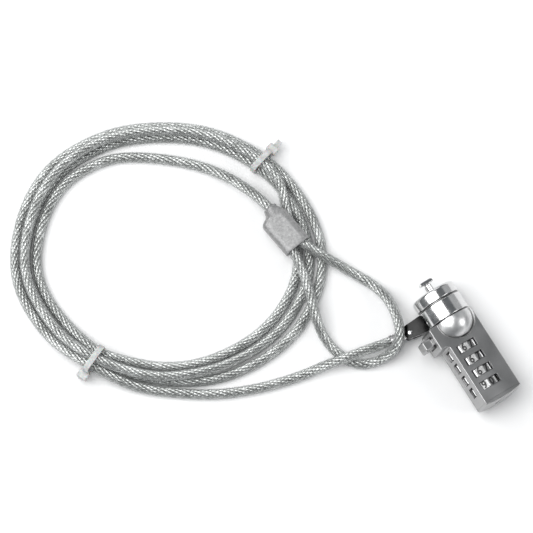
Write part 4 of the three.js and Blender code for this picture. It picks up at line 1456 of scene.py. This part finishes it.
def tie_place(bearing):
    """The tie's frame: +X away from the coil's centre, with the coil's rim at x = 0."""
    rims = [*COIL_RIM, COIL_RIM[0]]
    radius = float(np.interp((bearing - COIL_START) / RIM_STEP, range(len(rims)), rims))
    turn = math.radians(bearing)
    middle = Vector((*COIL_CENTRE, 0)) + radius * Vector((math.cos(turn), math.sin(turn), 0))
    return Matrix.Translation(middle * MM) @ Matrix.Rotation(turn, 4, "Z")


def upright(name, outline, low, high):
    """An outline in X and Z, raised along Y."""
    return loft(name, [[(x, y, z) for x, z in outline] for y in (low, high)])


def make_tie(number, tie):
    out = -tie["outer"]
    roof = tie["top"] + STRAP
    outside = rounded(box_corners(-tie["inner"] - STRAP, out + STRAP, STRAP_FOOT, roof, 2.6), 10)
    inside = rounded(box_corners(-tie["inner"], out, 1.05, tie["top"], 1.8), 10)
    strap = upright(f"nylon_tie_{number}", outside, -STRAP_HALF, STRAP_HALF)
    round_edges(strap, 0.22, 2)
    carve(strap, upright("opening", inside, -2, 2))
    tail_end = out + CLASP_LENGTH + tie["tail"]
    tail = block("tail", (out + 1, tail_end), (-TAIL_HALF, TAIL_HALF), TAIL_Z)
    round_edges(tail, 0.15, 2)
    clasp = block("clasp", (out + 0.5, out + CLASP_LENGTH), (-CLASP_HALF, CLASP_HALF), CLASP_Z)
    round_edges(clasp, 0.45, 3)
    window = block("window", (out - 1, out + 5), (-1.35, 1.35), (4.7, 6.3))
    carve(clasp, window)
    tooth = block("tooth", (-0.13, 0.13), (-0.75, 0.75), (-0.1, 0.14))
    step = (TOOTH_STEP, 0.0, 0.0)
    reshape(tooth, Matrix.Translation((out + 1.6, 0, TAIL_Z[1])))
    teeth = grow("teeth", tooth, repeat_tree, Count=5 + int(tie["tail"] / TOOTH_STEP), Step=step)
    # then the same tooth is moved to the inner end of the strap's roof
    reshape(tooth, Matrix.Translation((-out - 1.6 - tie["inner"] + 2.2, 0, roof - 5.9)))
    ribs = grow("ribs", tooth, repeat_tree, Count=int((tie["inner"] + out - 4) / TOOTH_STEP), Step=step)
    discard(tooth)
    weld(strap, tail, clasp, teeth, ribs)
    return finish_piece(strap, "cable", nylon, tie_place(tie["bearing"]), [f"cable_tie_{number}"])


tie_pieces = [make_tie(i + 1, tie) for i, tie in enumerate(TIES)]
print("ties:", [len(piece.data.polygons) for piece in tie_pieces], "faces")

# %% [markdown]
# ## Inner parts
# The parts behind the windows and inside the head keep the CAD model's meshes, which are already
# turned shapes with the right fits. They only need finishes.

# %% Finishes of the inner parts
INNER_FINISHES = {
    "locking_shaft": inner_steel, "detent_spring": spring_steel, "t_bar_spring": spring_steel,
    "reset_screw": dark_nickel, "drive_cam": brass,
}
INNER_FINISHES.update({f"dial_hub_{i}": brass for i in (1, 2, 3, 4)})
INNER_FINISHES.update({f"dial_washer_{i}": brass for i in (1, 2, 3)})
for name, finish in INNER_FINISHES.items():
    inner = bpy.data.objects[name]
    inner.data.materials.clear()
    inner.data.materials.append(finish)
print("finished", len(INNER_FINISHES), "inner parts")

# %% [markdown]
# ### The cord
# The cable is one length of something flexible, from the terminal in the yoke to the ferrule in the
# sleeve. The two lines below only work out its first point and the names of the pieces that sit on it;
# they are not used.

tuple(cable_line[0])
[piece.name for piece in (*rope_pieces, *sleeve_pieces, *tie_pieces, cable_eye)]

# %% [markdown]
# ## Stage and light
# The floor is plain and pale. A large soft box hangs overhead, a little to the left and behind, so
# polished metal shows a broad white band with dark edges. Smaller boxes light the edges of the lock,
# and a dim grey room fills the rest.

# %% Stage and light
FLOOR_SIZE = 6
LIGHT_AIM = Vector((-0.03, 0.05, 0))
# Each soft box: name, place, width and length in metres, and watts.
SOFT_BOXES = [
    ("overhead", (-0.35, 0.3, 1.0), (0.9, 1.1), 13),
    ("back_strip", (0.2, 1.3, 0.7), (1.4, 0.4), 3),
    ("left_card", (-1.4, -0.2, 0.5), (0.5, 1.2), 2),
    ("right_front", (0.95, -0.6, 0.9), (0.6, 0.6), 4),
    ("right_wall", (1.2, 0.2, 0.45), (1.0, 0.9), 0.9),
    ("front_strip", (0.35, -1.2, 0.3), (1.4, 0.4), 2),
]
ROOM_LIGHT = 0.16


def make_stage():
    bpy.ops.mesh.primitive_plane_add(size=FLOOR_SIZE, location=(0, 0, 0))
    floor = bpy.context.object
    floor.name = "floor"
    paper = start_material("floor_paper", grey(0.93), 0.0, 0.9)[0]
    floor.data.materials.append(paper)


def soft_box(name, location, size, power):
    data = bpy.data.lights.new(name, "AREA")
    data.shape = "RECTANGLE"
    data.size, data.size_y = size
    data.energy = power
    lamp = bpy.data.objects.new(name, data)
    bpy.context.scene.collection.objects.link(lamp)
    lamp.location = location
    lamp.rotation_mode = "QUATERNION"
    lamp.rotation_quaternion = (LIGHT_AIM - lamp.location).to_track_quat("-Z", "Y")


def make_room(strength):
    world = bpy.data.worlds.new("room")
    world.use_nodes = True
    background = world.node_tree.nodes["Background"]
    background.inputs["Color"].default_value = (0.9, 0.95, 1.0, 1)
    background.inputs["Strength"].default_value = strength
    bpy.context.scene.world = world


make_stage()
for soft_box_values in SOFT_BOXES:
    soft_box(*soft_box_values)
make_room(ROOM_LIGHT)
bpy.context.scene.view_settings.view_transform = "Standard"
print("stage and light are set")
